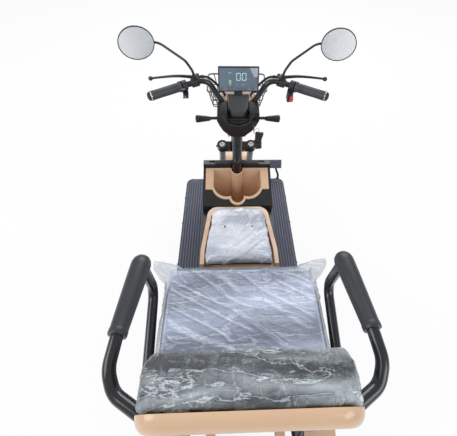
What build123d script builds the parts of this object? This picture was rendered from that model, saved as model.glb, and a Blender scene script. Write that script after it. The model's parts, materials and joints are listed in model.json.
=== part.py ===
from build123d import *
from math import cos, radians, sin
import os

os.makedirs("parts", exist_ok=True)

# Three-wheeled electric mobility trike.
# +X is the rider's right, +Y is forward, +Z is up; the ground is Z = 0 and the origin is
# under the middle of the overall length. All sizes are in millimetres.

# ------------------------------------------------------------------ driving dimensions
# Wheels
tyre_radius = 195
tyre_width = 76
rim_radius = 128
rim_width = 62
wheelbase = 1055
rear_track = 440
tail_overhang = 235

# Chassis
rail_top = 240
rail_height = 30
rail_width = 40
rail_spacing = 260
side_rail_spacing = 460
side_rail_size = 25
crossmember_size = 25
down_tube_radius = 21

# Floor
floor_sheet = 4
mat_thickness = 8
floor_half_width = 264
floor_front = 1002
floor_rear = 236

# Centre console: tunnel, front box and bin
console_half_width = 150
console_wall = 4
tunnel_rear = 292
tunnel_top = 440
tub_depth = 170
box_rear = 628
box_front = 822
box_top = 560
bin_wall = 3.5
bin_flange = 4
bin_half_width = 139
bin_depth = 200

# Steering
rake = 16
fork_offset = 50
crown_drop = 414
fork_spacing = 132
stanchion_radius = 15
slider_radius = 20.5
head_tube_radius = 26
head_tube_bore = 15
head_tube_low = 24
head_tube_high = 190
stem_radius = 14.9
cowl_depth = 54
cowl_wall = 3.5
fender_gap = 16
fender_sheet = 3
fender_half_width = 59

# Handlebar
bar_radius = 11
grip_radius = 17
mirror_radius = 63
display_width = 150
display_height = 92
display_depth = 14

# Basket
basket_half_width = 130
basket_near = 936
basket_far = 1096
basket_bottom = 752
basket_top = 846
basket_wall = 3

# Rider's seat
seat_half_width = 240
seat_front = 276
seat_rear = -60
seat_top = 599
cushion_thickness = 82
pan_thickness = 12
pan_rear = -96
seat_ring_half_width = 150
seat_ring_rear = -120
seat_tube_size = 25
rest_gap = 0.3
arm_tube_radius = 15
arm_pad_front_radius = 26
arm_pad_rear_radius = 21.5
back_half_width = 222
back_pad_half_width = 228
back_height = 245
back_pad_depth = 96
back_shell_depth = 32
back_shell_round = 30
back_tilt = 8
back_front = -28
back_low = 640

# Child's seat
child_front = 618
child_rear = 352
child_front_half = 122
child_rear_half = 147
child_shell_top = 478
child_cushion_top = 492

# Rear end
axle_tube_radius = 28
motor_radius = 72
motor_length = 170
arm_eye_radius = 36
spring_radius = 21
guard_gap = 18
guard_sheet = 4
guard_width = 92

# ------------------------------------------------------------------ derived places
rear_axle_y = -(wheelbase + tyre_radius - tail_overhang) / 2
front_axle_y = rear_axle_y + wheelbase
floor_top = rail_top + floor_sheet + mat_thickness
pan_top = seat_top - cushion_thickness
pan_low = pan_top - pan_thickness
ring_top = pan_low - 8
fork_half = fork_spacing / 2
guard_radius = tyre_radius + guard_gap
rake_sin = sin(radians(rake))
rake_cos = cos(radians(rake))
crown_y = front_axle_y - fork_offset * rake_cos - crown_drop * rake_sin
crown_z = tyre_radius - fork_offset * rake_sin + crown_drop * rake_cos


def back(y):
    """A distance ahead of the rear axle, as a place along Y."""
    return rear_axle_y + y


def steer(shape):
    """Place a shape drawn about the steering axis: z runs up the axis from the crown."""
    return Pos(0, crown_y, crown_z) * Rot(rake, 0, 0) * shape


def steer_point(x, y, z):
    """A point given about the steering axis, in the trike's frame."""
    return (x, crown_y + y * rake_cos - z * rake_sin, crown_z + y * rake_sin + z * rake_cos)


def block(x, y, z):
    """A box between two corners, each axis given as (low, high)."""
    size = Box(x[1] - x[0], y[1] - y[0], z[1] - z[0])
    return Pos((x[0] + x[1]) / 2, (y[0] + y[1]) / 2, (z[0] + z[1]) / 2) * size


def rod(start, end, radius):
    """A round bar between two points."""
    line = Vector(*end) - Vector(*start)
    plane = Plane(origin=start, z_dir=line)
    return extrude(plane * Circle(radius), line.length)


def bent_tube(points, bends, radius):
    """A round tube through a list of corners, each rounded to its own bend radius."""
    path = FilletPolyline(*points, radius=bends)
    return sweep(Plane(origin=path @ 0, z_dir=path % 0) * Circle(radius), path=path)


def other_side(shape):
    return mirror(shape, about=Plane.YZ)


def side_profile(points, x):
    """A solid from corners (y, z) on the trike's side view, between two places on X."""
    face = make_face(Plane.YZ * Polyline(*points, close=True))
    return Pos(x[0], 0, 0) * extrude(face, x[1] - x[0], dir=(1, 0, 0))


def save(name, shape):
    export_step(shape, f"parts/{name}.step")


def solids_of(*shapes):
    """Separate solids kept together in one node."""
    parts = [solid for shape in shapes for solid in shape.solids()]
    return Compound(children=parts)


# ------------------------------------------------------------------ wheels
def wheel_tyre():
    """A tyre of round section, lying about the X axis at the origin."""
    half = tyre_width / 2
    crown = half * 0.9
    section = Pos(tyre_radius - crown, 0) * Ellipse(crown, half)
    inner = Pos((tyre_radius - 2 * crown + rim_radius) / 2, 0)
    bead = inner * Rectangle(abs(rim_radius - tyre_radius + 2 * crown) + 0.01, 0.01)
    band = Pos(rim_radius + tyre_radius / 2, 0) * Rectangle(tyre_radius, tyre_width)
    face = (section + bead) & band
    ring = revolve(Plane.XZ * face, Axis.Z)
    return Rot(0, 90, 0) * ring


def wheel_rim(bore):
    """A cast rim with a hub, a web and five openings, about the X axis."""
    lip = 14
    hub_radius = 34
    barrel = Cylinder(rim_radius, rim_width) - Cylinder(rim_radius - lip, rim_width + 2)
    web = Cylinder(rim_radius - lip + 1, 16)
    hub = Cylinder(hub_radius, rim_width + 14)
    body = barrel + web + hub - Cylinder(bore, rim_width + 40)
    for turn in range(5):
        window = extrude(Pos(74, 0) * SlotOverall(58, 30), 20, both=True)
        body -= Rot(0, 0, 72 * turn) * window
    return Rot(0, 90, 0) * body


axle_bore = 8.5
stub_radius = 8.45
hub_half = rim_width / 2 + 7

save("front_tyre", Pos(0, front_axle_y, tyre_radius) * wheel_tyre())
save("front_rim", Pos(0, front_axle_y, tyre_radius) * wheel_rim(axle_bore))
for side, name in ((-1, "left"), (1, "right")):
    place = Pos(side * rear_track / 2, rear_axle_y, tyre_radius)
    save(f"rear_tyre_{name}", place * wheel_tyre())
    save(f"rear_rim_{name}", place * wheel_rim(axle_bore))


# ------------------------------------------------------------------ chassis
frame_rear = 45
rail_front = 800
seat_leg_front = 262


def chassis_rails():
    half = rail_spacing / 2
    low = rail_top - rail_height
    rails = []
    for side in (-1, 1):
        x = (side * half - rail_width / 2, side * half + rail_width / 2)
        rails.append(block(x, (back(frame_rear), back(rail_front)), (low, rail_top)))
        edge = side * side_rail_spacing / 2
        x = (edge - side_rail_size / 2, edge + side_rail_size / 2)
        y = (back(floor_rear + 12), back(floor_front - 30))
        rails.append(block(x, y, (rail_top - side_rail_size, rail_top)))
    return solids_of(*rails)


def chassis_crossmembers():
    size = crossmember_size
    inner = rail_spacing / 2 - rail_width / 2
    outer_in = rail_spacing / 2 + rail_width / 2
    outer_out = side_rail_spacing / 2 - side_rail_size / 2
    z = (rail_top - size, rail_top)
    bars = []
    for y in (300, 560, rail_front - size):
        bars.append(block((-inner, inner), (back(y), back(y + size)), z))
        bars.append(block((outer_in, outer_out), (back(y), back(y + size)), z))
        bars.append(block((-outer_out, -outer_in), (back(y), back(y + size)), z))
    return solids_of(*bars)


def battery_tray():
    half = rail_spacing / 2 - rail_width / 2
    x = (-half - rail_width, half + rail_width)
    return block(x, (back(84), back(256)), (rail_top, rail_top + 4))


tube_foot_y = back(789)


def down_tube():
    """Head tube, and the tube that runs back from it and drops to the front crossmember."""
    length = head_tube_high - head_tube_low
    middle = (head_tube_high + head_tube_low) / 2
    head = steer(Pos(0, 0, middle) * Cylinder(head_tube_radius, length))
    bore = steer(Pos(0, 0, middle) * Cylinder(head_tube_bore, length + 2))
    top = steer_point(0, 0, 158)
    foot = (0, tube_foot_y, rail_top)
    knee = (0, tube_foot_y, 596)
    spine = bent_tube([top, knee, foot], [70], down_tube_radius)
    gusset = block((-3, 3), (back(815), back(845)), (618, 668))
    return (head + spine + gusset) - bore


def seat_frame():
    size = seat_tube_size
    half = seat_ring_half_width
    low = ring_top - size
    inner = half - size / 2
    bars = []
    for side in (-1, 1):
        x = (side * half - size / 2, side * half + size / 2)
        bars.append(block(x, (back(seat_ring_rear), back(seat_leg_front + size)), (low, ring_top)))
    for y in (seat_ring_rear, frame_rear, seat_leg_front):
        bars.append(block((-inner, inner), (back(y), back(y + size)), (low, ring_top)))
    for x in ((-inner, size - inner), (inner - size, inner)):
        for y in (frame_rear, seat_leg_front):
            bars.append(block(x, (back(y), back(y + size)), (rail_top, low)))
    return solids_of(*bars)


save("chassis_rails", chassis_rails())
save("down_tube", down_tube())


# ------------------------------------------------------------------ floor
def floor_pan():
    """One side's floor: a sheet with a turned-up outer edge."""
    lip = 5
    x = (console_half_width + 1, floor_half_width)
    sheet = block(x, (back(floor_rear), back(floor_front)), (rail_top, rail_top + floor_sheet))
    corner = sheet.edges().filter_by(Axis.Z).sort_by(Axis.Y)[-2:].sort_by(Axis.X)[-1]
    sheet = fillet(corner, 30)
    edge = (floor_half_width - lip, floor_half_width)
    rim = block(edge, (back(floor_rear), back(floor_front - 40)), (rail_top + floor_sheet, floor_top - 2))
    return sheet + rim


def floor_mat():
    lip = 6
    x = (console_half_width + 3, floor_half_width - lip)
    y = (back(floor_rear + 3), back(floor_front - 6))
    mat = block(x, y, (rail_top + floor_sheet, floor_top))
    corner = mat.edges().filter_by(Axis.Z).sort_by(Axis.Y)[-2:].sort_by(Axis.X)[-1]
    return fillet(corner, 26)


def both_sides(shape):
    """A piece and its mirror on the other side, as two solids."""
    return solids_of(shape, other_side(shape))


save("floor_pans", both_sides(floor_pan()))
save("floor_mats", both_sides(floor_mat()))


# ------------------------------------------------------------------ front box and bin
notch_radius = 25
deck_slope = 22
far_edge = 790
far_edge_height = 541
side_edge = 697
lobe_radius = 58
lobe_place = (47, 723)
centre_lobe_radius = 28
centre_lobe_y = 668
bin_inside_half = 104
bin_inside_front = 782
bin_inside_rear = 702


def rim_height(y):
    """Height of the sloping rim at a distance ahead of the rear axle."""
    return far_edge_height - (far_edge - y) * sin(radians(deck_slope)) / cos(radians(deck_slope))


def bin_plan(grow):
    """Plan of the bin: two side lobes and a centre lobe at the rider's end."""
    lobes = Pos(0, back(centre_lobe_y)) * Circle(centre_lobe_radius + grow)
    for side in (-1, 1):
        lobes += Pos(side * lobe_place[0], back(lobe_place[1])) * Circle(lobe_radius + grow)
    return lobes + bin_front_plan(grow, 0)


def bin_front_plan(grow_sides, grow_ends):
    """Plan of the bin's square front part, grown at its sides and at its two ends."""
    middle = back((bin_inside_front + bin_inside_rear) / 2)
    length = bin_inside_front - bin_inside_rear + 2 * grow_ends
    return Pos(0, middle) * Rectangle(2 * (bin_inside_half + grow_sides), length)


def above_rim(lift):
    """Everything above the sloping rim plane, raised by lift."""
    low = rim_height(600) + lift
    high = rim_height(860) + lift
    points = [(back(600), low), (back(860), high), (back(860), 900), (back(600), 900)]
    return side_profile(points, (-200, 200))


def bin_solid():
    floor = rim_height(side_edge) - bin_depth
    outer = bin_plan(bin_wall)
    inner = bin_plan(0)
    tube_wall = Pos(0, tube_foot_y) * Circle(notch_radius + bin_wall)
    shell = extrude(Pos(0, 0, floor - bin_wall) * (outer + bin_front_plan(bin_wall, bin_wall)), 400)
    cavity = extrude(Pos(0, 0, floor) * (inner - tube_wall), 400)
    slot = extrude(Pos(0, 0, floor - 20) * Pos(0, tube_foot_y) * Circle(notch_radius), 500)
    ears = Rectangle(2 * bin_half_width, far_edge - side_edge)
    flange_plan = bin_plan(10) + Pos(0, back((far_edge + side_edge) / 2)) * ears
    flange = extrude(Pos(0, 0, 300) * flange_plan, 400)
    flange -= above_rim(0)
    flange &= above_rim(-bin_flange)
    body = shell - above_rim(0)
    limit = block((-bin_half_width, bin_half_width), (back(600), back(far_edge)), (floor - 30, 700))
    return ((body + flange) - cavity - slot) & limit


def front_box():
    """Outer shell of the front box, open below, with a tray along its top."""
    outline = [
        (back(box_rear), rail_top), (back(box_front), rail_top), (back(box_front), box_top),
        (back(far_edge + 4), box_top), (back(far_edge + 4), rim_height(far_edge + 4) - bin_flange),
        (back(box_rear), rim_height(box_rear) - bin_flange),
    ]
    w = console_wall
    inside = [
        (back(box_rear) + w, rail_top - 1), (back(box_front) - w, rail_top - 1),
        (back(box_front) - w, box_top - 3 * w), (back(far_edge + 4) + w, box_top - 3 * w),
        (back(far_edge + 4) + w, rim_height(far_edge) - bin_flange - w),
        (back(box_rear) + w, rim_height(box_rear) - bin_flange - w),
    ]
    half = console_half_width
    shell = side_profile(outline, (-half, half)) - side_profile(inside, (w - half, half - w))
    fit = bin_wall + 0.5
    hole = bin_plan(fit) + bin_front_plan(fit, fit)
    keep = block((-half, half), (back(600), back(far_edge + 0.5)), (300, 700))
    shell -= extrude(Pos(0, 0, 320) * hole, 400) & keep
    tray = block((-124, 124), (back(far_edge + 9), back(box_front - 6)), (box_top - 4, box_top + 1))
    shell -= tray
    slot = extrude(Pos(0, tube_foot_y, rim_height(far_edge) - 60) * Circle(notch_radius + 1), 300)
    shell -= slot
    return shell


save("front_bin", bin_solid())
save("front_box", front_box())


# ------------------------------------------------------------------ tunnel
tub_inset = 18
tub_corner = 18


def tunnel():
    """Box between the front box and the seat, with a storage tub under the child's seat."""
    half = console_half_width
    w = console_wall
    y = (back(tunnel_rear), back(box_rear) - 0.2)
    low = tunnel_top - tub_depth
    body = block((-half, half), y, (rail_top, tunnel_top))
    body -= block((w - half, half - w), (y[0] + w, y[1] - w), (rail_top - 1, tunnel_top - w))
    tub_half = child_front_half - tub_inset
    tub_y = (back(child_rear + tub_inset), back(child_front - 30))
    tub = block((-tub_half, tub_half), tub_y, (low, tunnel_top + 1))
    tub = fillet(tub.edges().filter_by(Axis.Z), tub_corner)
    case = block((-tub_half - w, tub_half + w), (tub_y[0] - w, tub_y[1] + w), (low - w, tunnel_top))
    case = fillet(case.edges().filter_by(Axis.Z), tub_corner + w)
    return body + case - tub


hinge_radius = 3.8
hinge_pin = 2
hinge_gap = 0.05
hinge_middle = 40
hinge_half = 90
hinge_reach = 12
leaf_sheet = 1.5


def hinge_bore(y, z):
    """Room for a hinge's pin, to cut from the leaf that turns on it."""
    reach = hinge_middle + 1
    return rod((-reach, y, z), (reach, y, z), hinge_pin + hinge_gap)


def piano_hinge(y, z, leaf_y, leaf_z, half):
    """Fixed outer knuckles with their pin and leaf, and the middle knuckle that turns."""
    free = (-hinge_middle - rest_gap, hinge_middle + rest_gap)
    front = y + hinge_reach
    fixed = rod((-half, y, z), (half, y, z), hinge_radius) + block((-half, half), leaf_y, leaf_z)
    clear = block(free, (y - hinge_reach, front), (leaf_z[1], z + hinge_reach))
    clear += block(free, (y - hinge_radius - rest_gap, front), (z - hinge_reach / 2, z + hinge_reach))
    pin = rod((-half, y, z), (half, y, z), hinge_pin)
    knuckle = rod((-hinge_middle, y, z), (hinge_middle, y, z), hinge_radius)
    knuckle -= hinge_bore(y, z)
    return (fixed - clear) + pin, knuckle


child_low = tunnel_top + rest_gap
child_hinge_y = child_rear - 4.4
child_hinge_z = tunnel_top + 4.3
child_hinge_fixed, child_knuckle = piano_hinge(
    back(child_hinge_y), child_hinge_z, (back(child_hinge_y - 14), back(child_hinge_y)),
    (tunnel_top, tunnel_top + leaf_sheet), hinge_half)

save("tunnel", tunnel() + child_hinge_fixed)


# ------------------------------------------------------------------ child's seat
child_corner = 42
child_rim = 16
child_floor = 6


def child_plan(grow):
    """Plan of the child's seat, wider at the back, with rounded front corners."""
    wide, narrow = child_rear_half + grow, child_front_half + grow
    rear, middle, front = back(child_rear), back(child_rear + 60), back(child_front) + grow
    points = [(-wide, rear), (wide, rear), (wide, middle), (narrow, front), (-narrow, front), (-wide, middle)]
    outline = make_face(Polyline(*points, close=True))
    return fillet(outline.vertices().sort_by(Axis.Y)[-2:], child_corner)


def child_base():
    """Moulded surround, open in the middle for the cushion."""
    body = extrude(Pos(0, 0, child_low) * child_plan(0), child_shell_top - child_low)
    well = extrude(Pos(0, 0, child_low + child_floor) * child_plan(-child_rim), 60)
    half = child_rear_half - child_rim
    rear = block((-half, half), (back(child_rear) - 1, back(child_rear + 20)), (child_low + child_floor, 600))
    link_z = (child_hinge_z - 0.5, child_hinge_z + 3.5)
    link = block((-hinge_middle, hinge_middle), (back(child_hinge_y), back(child_rear) + 1), link_z)
    link -= hinge_bore(back(child_hinge_y), child_hinge_z)
    return body - well - rear + link + child_knuckle


def child_cushion():
    plan = child_plan(-child_rim - 0.5)
    low = child_low + child_floor
    cushion = extrude(Pos(0, 0, low) * plan, child_cushion_top - low)
    cushion &= block((-200, 200), (back(child_rear + 1), back(child_front)), (400, 600))
    top = cushion.faces().sort_by(Axis.Z)[-1]
    return fillet(top.edges(), 10)


save("child_seat_base", child_base())
save("child_seat_cushion", child_cushion())


# ------------------------------------------------------------------ rider's seat
seat_hinge_y = seat_leg_front + seat_tube_size
seat_hinge_z = ring_top + 4
seat_hinge_fixed, seat_knuckle = piano_hinge(
    back(seat_hinge_y), seat_hinge_z, (back(seat_hinge_y - 14), back(seat_hinge_y)),
    (ring_top, ring_top + leaf_sheet), hinge_half)


def seat_pan():
    half = seat_half_width - 12
    board = block((-half, half), (back(pan_rear), back(seat_front - 16)), (pan_low, pan_top))
    board = fillet(board.edges().filter_by(Axis.Z), 24)
    leaf_y = (back(seat_front - 40), back(seat_hinge_y))
    leaf = block((-hinge_middle, hinge_middle), leaf_y, (pan_low - 2.2, pan_low))
    return board + (leaf - hinge_bore(back(seat_hinge_y), seat_hinge_z)) + seat_knuckle


def seat_cushion():
    body = block((-seat_half_width, seat_half_width), (back(seat_rear), back(seat_front)),
                 (pan_top + rest_gap, seat_top))
    body = fillet(body.edges().filter_by(Axis.Z), 40)
    top = body.faces().sort_by(Axis.Z)[-1]
    return fillet(top.edges(), 24)


def on_back(shape):
    """Place a shape drawn upright about the backrest's lower front edge."""
    return Pos(0, back(back_front), back_low) * Rot(back_tilt, 0, 0) * shape


def back_pad():
    body = block((-back_pad_half_width, back_pad_half_width), (-back_pad_depth, 0), (0, back_height))
    body = fillet(body.edges().filter_by(Axis.Y), 50)
    front = body.faces().sort_by(Axis.Y)[-1]
    return on_back(fillet(front.edges(), 28)) - both_sides(arm_path(arm_tube_radius + rest_gap))


def back_shell():
    depth = (-back_pad_depth - back_shell_depth, -back_pad_depth - rest_gap)
    body = block((-back_half_width, back_half_width), depth, (-6, back_height - 8))
    body = fillet(body.edges().filter_by(Axis.Y), 56)
    rear = body.faces().sort_by(Axis.Y)[0]
    return on_back(fillet(rear.edges(), back_shell_round))


def back_post():
    """Flat bar from the pan's rear up to the underside of the backrest shell."""
    top_y = back(back_front) - back_pad_depth - back_shell_depth / 2
    front = [(back(pan_rear + 32), pan_top), (top_y + 12, 585), (top_y + 12, 650)]
    rear = [(top_y - 12, 650), (top_y - 12, 580), (back(pan_rear + 1), pan_top)]
    points = front + rear
    return side_profile(points, (136, 160)) - back_shell()


arm_foot = [(-164, back(-80), pan_top + arm_tube_radius), (-262, back(-80), pan_top + arm_tube_radius)]
arm_elbow = (-273, back(208), 592)
arm_front = (-274.5, back(182), 784)
arm_rear = (-296, back(2), 787)
arm_bow = [(-304, back(-60), 772), (-288, back(-100), 750), (-206, back(-148), 748)]


def arm_path(radius):
    """The tube's run from under the cushion, up to the armrest, and round behind the backrest."""
    points = arm_foot + [arm_elbow, arm_front, arm_rear] + arm_bow
    return bent_tube(points, [38, 45, 24, 90, 70, 45], radius)


def arm_pad():
    """Foam sleeve with a round nose, narrower behind."""
    run = Vector(*arm_rear) - Vector(*arm_front)
    middle = Vector(*arm_front) + run / 2
    pad = Plane(middle, z_dir=run) * Cone(arm_pad_front_radius, arm_pad_rear_radius, run.length)
    pad += Pos(*arm_front) * Sphere(arm_pad_front_radius)
    core = bent_tube([arm_elbow, arm_front, arm_rear, arm_bow[0]], [24, 90], arm_tube_radius + 0.05)
    return pad - core


post = back_post()
save("seat_pan", solids_of(seat_pan(), post, other_side(post)))
save("seat_cushion", seat_cushion())
save("backrest_pad", back_pad())
save("backrest_shell", back_shell())
tube_left = arm_path(arm_tube_radius) - back_shell()
pad_left = arm_pad()
save("arm_tube_left", tube_left)
save("arm_tube_right", other_side(tube_left))
save("arm_pads", both_sides(pad_left))


# ------------------------------------------------------------------ rear end
def rear_axle():
    """Axle tube with stub ends that carry the wheels."""
    half = rear_track / 2 - hub_half - rest_gap
    tube = rod((-half, rear_axle_y, tyre_radius), (half, rear_axle_y, tyre_radius), axle_tube_radius)
    reach = rear_track / 2 + rim_width / 2 + 12
    stub = rod((-reach, rear_axle_y, tyre_radius), (reach, rear_axle_y, tyre_radius), stub_radius)
    return (tube + stub) - motor_block()


def motor_block():
    ends = motor_length / 2
    return rod((-ends, rear_axle_y, tyre_radius), (ends, rear_axle_y, tyre_radius), motor_radius)


def trailing_arm():
    """Arm from the chassis rail's end back to the axle tube."""
    x = rail_spacing / 2
    ring = rod((x - 14, rear_axle_y, tyre_radius), (x + 14, rear_axle_y, tyre_radius), arm_eye_radius)
    bar = block((x - 9, x + 9), (back(20), back(frame_rear)), (tyre_radius + 4, rail_top - 5))
    seat = rod((x - 20, rear_axle_y, tyre_radius), (x + 20, rear_axle_y, tyre_radius), axle_tube_radius)
    return (ring + bar) - seat


def shock():
    """Spring and damper unit behind the axle, up to the seat frame."""
    x = rail_spacing / 2 + 4
    y = back(-62)
    low = tyre_radius + 19
    high = ring_top - seat_tube_size
    foot = block((x - 8, x + 8), (y - 14, y + 34), (low - 18, low))
    ring = rod((x - 40, rear_axle_y, tyre_radius), (x + 40, rear_axle_y, tyre_radius), arm_eye_radius)
    spring = rod((x, y, low), (x, y, high - 30), spring_radius)
    top = block((x - 8, x + 14), (y - 12, y + 12), (high - 30, high))
    return (foot + spring + top) - ring


def battery():
    return block((-112, 112), (back(90), back(250)), (rail_top + 4.2, 420))


def seat_fairing():
    """Skirt round the seat frame: a front panel and two sides, open below and behind."""
    w = 3.5
    half = seat_ring_half_width + seat_tube_size / 2 + w
    front = back(tunnel_rear) - 0.4
    rear = back(seat_ring_rear - 3)
    outer = block((-half, half), (rear, front), (268, ring_top))
    inner = block((w - half, half - w), (rear - 1, front - w), (267, ring_top + 1))
    wheel = Rot(0, 90, 0) * Cylinder(guard_radius + guard_sheet + rest_gap, guard_width)
    arch = Pos(rear_track / 2, rear_axle_y, tyre_radius) * wheel
    return outer - inner - both_sides(arch)


def mudguard():
    """Arched guard over a rear wheel, with an outer lip and a stay to the seat frame."""
    place = Pos(rear_track / 2, rear_axle_y, tyre_radius)
    outer = guard_radius + guard_sheet
    ring = Cylinder(outer, guard_width) - Cylinder(guard_radius, guard_width + 2)
    lip = Cylinder(outer, guard_sheet) - Cylinder(guard_radius - 12, guard_sheet + 2)
    arch = Rot(0, 90, 0) * (ring + Pos(0, 0, guard_width / 2 - guard_sheet / 2) * lip)
    arch -= block((-100, 100), (-300, 300), (-300, -20))
    arch = place * arch
    edge = rear_track / 2 - guard_width / 2
    fairing = seat_ring_half_width + seat_tube_size / 2 + 3.5
    top = tyre_radius + outer
    stay = block((fairing, edge + 30), (back(-12), back(12)), (top - 1, top + 4))
    leg = block((fairing, fairing + 4), (back(-12), back(12)), (top + 4, ring_top))
    return arch + stay + leg


def tail_panel():
    half = 166
    low = 318
    y = (back(-tail_overhang + 16), back(-tail_overhang + 30))
    panel = block((-half, half), y, (low, ring_top + 4))
    panel = fillet(panel.edges().filter_by(Axis.Y), 26)
    for side in (-1, 1):
        x = (side * 90 - 12, side * 90 + 12)
        panel += block(x, (y[1], back(seat_ring_rear)), (ring_top - seat_tube_size, ring_top))
    return panel


def tail_lamp(side):
    y = (back(-tail_overhang), back(-tail_overhang + 16))
    lamp = block((side * 118 - 38, side * 118 + 38), y, (400, 440))
    return fillet(lamp.edges().filter_by(Axis.Y), 12)


def reflector():
    y = (back(-tail_overhang + 8), back(-tail_overhang + 16))
    return fillet(block((-45, 45), y, (350, 376)).edges().filter_by(Axis.Y), 8)


pedal_pivot = (back(1012), rail_top - 12)
pedal_plate = (226, 232)
pedal_eye = (pedal_plate[1] + rest_gap, 246)
pedal_pin = 4


def pedal_bracket():
    """Plate on the side rail's front end, with the pin that the brake pedal turns on."""
    y, z = pedal_pivot
    plate = block(pedal_plate, (back(floor_front - 30), y), (z - 9, z + 9))
    plate += rod((pedal_plate[0], y, z), (pedal_plate[1], y, z), 9)
    return plate + rod((pedal_plate[0], y, z), (pedal_eye[1] + 1, y, z), pedal_pin)


def brake_pedal():
    """Foot brake ahead of the right floor: a pad on an arm from the pivot."""
    y, z = pedal_pivot
    x = (pedal_eye[0] + pedal_eye[1]) / 2
    eye = rod((pedal_eye[0], y, z), (pedal_eye[1], y, z), 9)
    arm = bent_tube([(x, y, z), (x, back(1018), z + 30), (216, back(1030), 322)], [30], 6)
    pad = Pos(216, back(1031), 330) * Rot(58, 0, 0) * Box(72, 46, 10)
    hole = rod((pedal_eye[0] - 1, y, z), (pedal_eye[1] + 1, y, z), pedal_pin + hinge_gap)
    return (eye + arm + pad) - hole


arm = trailing_arm()
save("rear_axle", solids_of(rear_axle(), arm, other_side(arm)))
save("motor_block", motor_block())
save("shocks", both_sides(shock()))
save("battery", battery())
save("seat_fairing", seat_fairing())
save("mudguards", both_sides(mudguard()))
save("tail_panel", tail_panel())
save("tail_lamps", solids_of(tail_lamp(-1), tail_lamp(1), reflector()))
save("brake_pedal", brake_pedal())
save("chassis_crossmembers", solids_of(chassis_crossmembers(), battery_tray(), pedal_bracket()))


# ------------------------------------------------------------------ seat rests and hinge
def seat_buffers():
    top = pan_low - rest_gap
    pads = []
    for x in (-seat_ring_half_width, seat_ring_half_width):
        for y in (-80, 210):
            pads.append(rod((x, back(y), ring_top), (x, back(y), top), 9))
    return solids_of(*pads)


save("seat_frame", solids_of(seat_frame(), seat_hinge_fixed))
save("seat_buffers", seat_buffers())


# ------------------------------------------------------------------ fork
leg_ahead = 3
slider_top = -190
clamp_low = 272


def fork_crown():
    """Lower clamp that joins the two fork legs to the steering stem."""
    plate = Box(2 * fork_half, 40, 26)
    for side in (-1, 1):
        plate += Pos(side * fork_half, leg_ahead, 0) * Cylinder(24, 30)
    stem = rod((0, 0, -13), (0, 0, clamp_low), stem_radius)
    low_race = rod((0, 0, 12), (0, 0, head_tube_low - rest_gap), 22)
    top_nut = rod((0, 0, head_tube_high + rest_gap), (0, 0, head_tube_high + 10), 22)
    body = plate + stem + low_race + top_nut
    for side in (-1, 1):
        body -= Pos(side * fork_half, leg_ahead, 0) * Cylinder(stanchion_radius + 0.05, 60)
    return steer(body)


def fork_legs():
    """Two telescopic legs, with lugs that carry the front axle ahead of them."""
    legs = []
    low = -crown_drop
    for side in (-1, 1):
        x = side * fork_half
        tube = rod((x, leg_ahead, slider_top), (x, leg_ahead, 11), stanchion_radius)
        slider = rod((x, leg_ahead, low), (x, leg_ahead, slider_top), slider_radius)
        lug = block((x - 9, x + 9), (leg_ahead, fork_offset), (low - 17, low + 17))
        eye = Pos(x, fork_offset, low) * Rot(0, 90, 0) * Cylinder(17, 18)
        leg = tube + slider + lug + eye
        hole = Pos(x, fork_offset, low) * Rot(0, 90, 0) * Cylinder(stub_radius, 60)
        legs.append(steer(leg - hole))
    return solids_of(*legs)


def fork_caps():
    caps = []
    for side in (-1, 1):
        caps.append(steer(rod((side * fork_half, leg_ahead, 11), (side * fork_half, leg_ahead, 17), 13)))
    return solids_of(*caps)


def front_axle():
    """Axle bar with a spacer collar between each fork lug and the hub."""
    reach = fork_half + 20
    bar = rod((-reach, front_axle_y, tyre_radius), (reach, front_axle_y, tyre_radius), stub_radius)
    for side in (-1, 1):
        inner = side * (hub_half + rest_gap)
        outer = side * (fork_half - 9)
        bar += rod((inner, front_axle_y, tyre_radius), (outer, front_axle_y, tyre_radius), 13)
    return bar


def front_fender():
    """Arched guard over the front wheel, notched where the fork legs pass."""
    inner = tyre_radius + fender_gap
    outer = inner + fender_sheet
    ring = Cylinder(outer, 2 * fender_half_width) - Cylinder(inner, 2 * fender_half_width + 2)
    lips = Cylinder(outer, 2 * fender_half_width) - Cylinder(inner - 12, 2 * fender_half_width + 2)
    lips -= Cylinder(outer + 5, 2 * fender_half_width - 6)
    arch = Rot(0, 90, 0) * (ring + lips)
    arch -= Rot(24, 0, 0) * block((-100, 100), (-300, 300), (-400, 0))
    arch -= Rot(-46, 0, 0) * block((-100, 100), (-300, 300), (-400, 0))
    arch = Pos(0, front_axle_y, tyre_radius) * arch
    for side in (-1, 1):
        x = (42, 90) if side > 0 else (-90, -42)
        arch -= steer(block(x, (-27, 33), (-crown_drop, 0)))
    reach = fork_half - slider_radius + 3
    under = inner - crown_drop
    stay = steer(block((-reach, reach), (-6, 12), (under - 2, under + 4)))
    for side in (-1, 1):
        stay -= steer(Pos(side * fork_half, leg_ahead, under + 1) * Cylinder(slider_radius, 40))
    stay -= Pos(0, front_axle_y, tyre_radius) * Rot(0, 90, 0) * Cylinder(inner, 200)
    return arch + stay


save("fork_crown", fork_crown())
save("fork_legs", solids_of(fork_legs(), front_axle()))
save("fork_caps", fork_caps())
save("front_fender", front_fender())


# ------------------------------------------------------------------ handlebar
bar_height = 289
bar_ahead = 5
wrist = (190, 27, 382)
grip_end = (317, -47, 400)


def grip_point(x):
    """A point on the right grip's centre line at a place along X."""
    share = (x - wrist[0]) / (grip_end[0] - wrist[0])
    return (x, wrist[1] + share * (grip_end[1] - wrist[1]), wrist[2] + share * (grip_end[2] - wrist[2]))


rise = (117, 35, 403)
bar_end = grip_point(grip_end[0] - 5)
bar_half = [(52, bar_ahead, bar_height), rise, wrist, bar_end]


def bar_tube(radius):
    left = [(-x, y, z) for x, y, z in reversed(bar_half)]
    return bent_tube(left + bar_half, [60, 38, 38, 38, 38, 60], radius)


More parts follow.
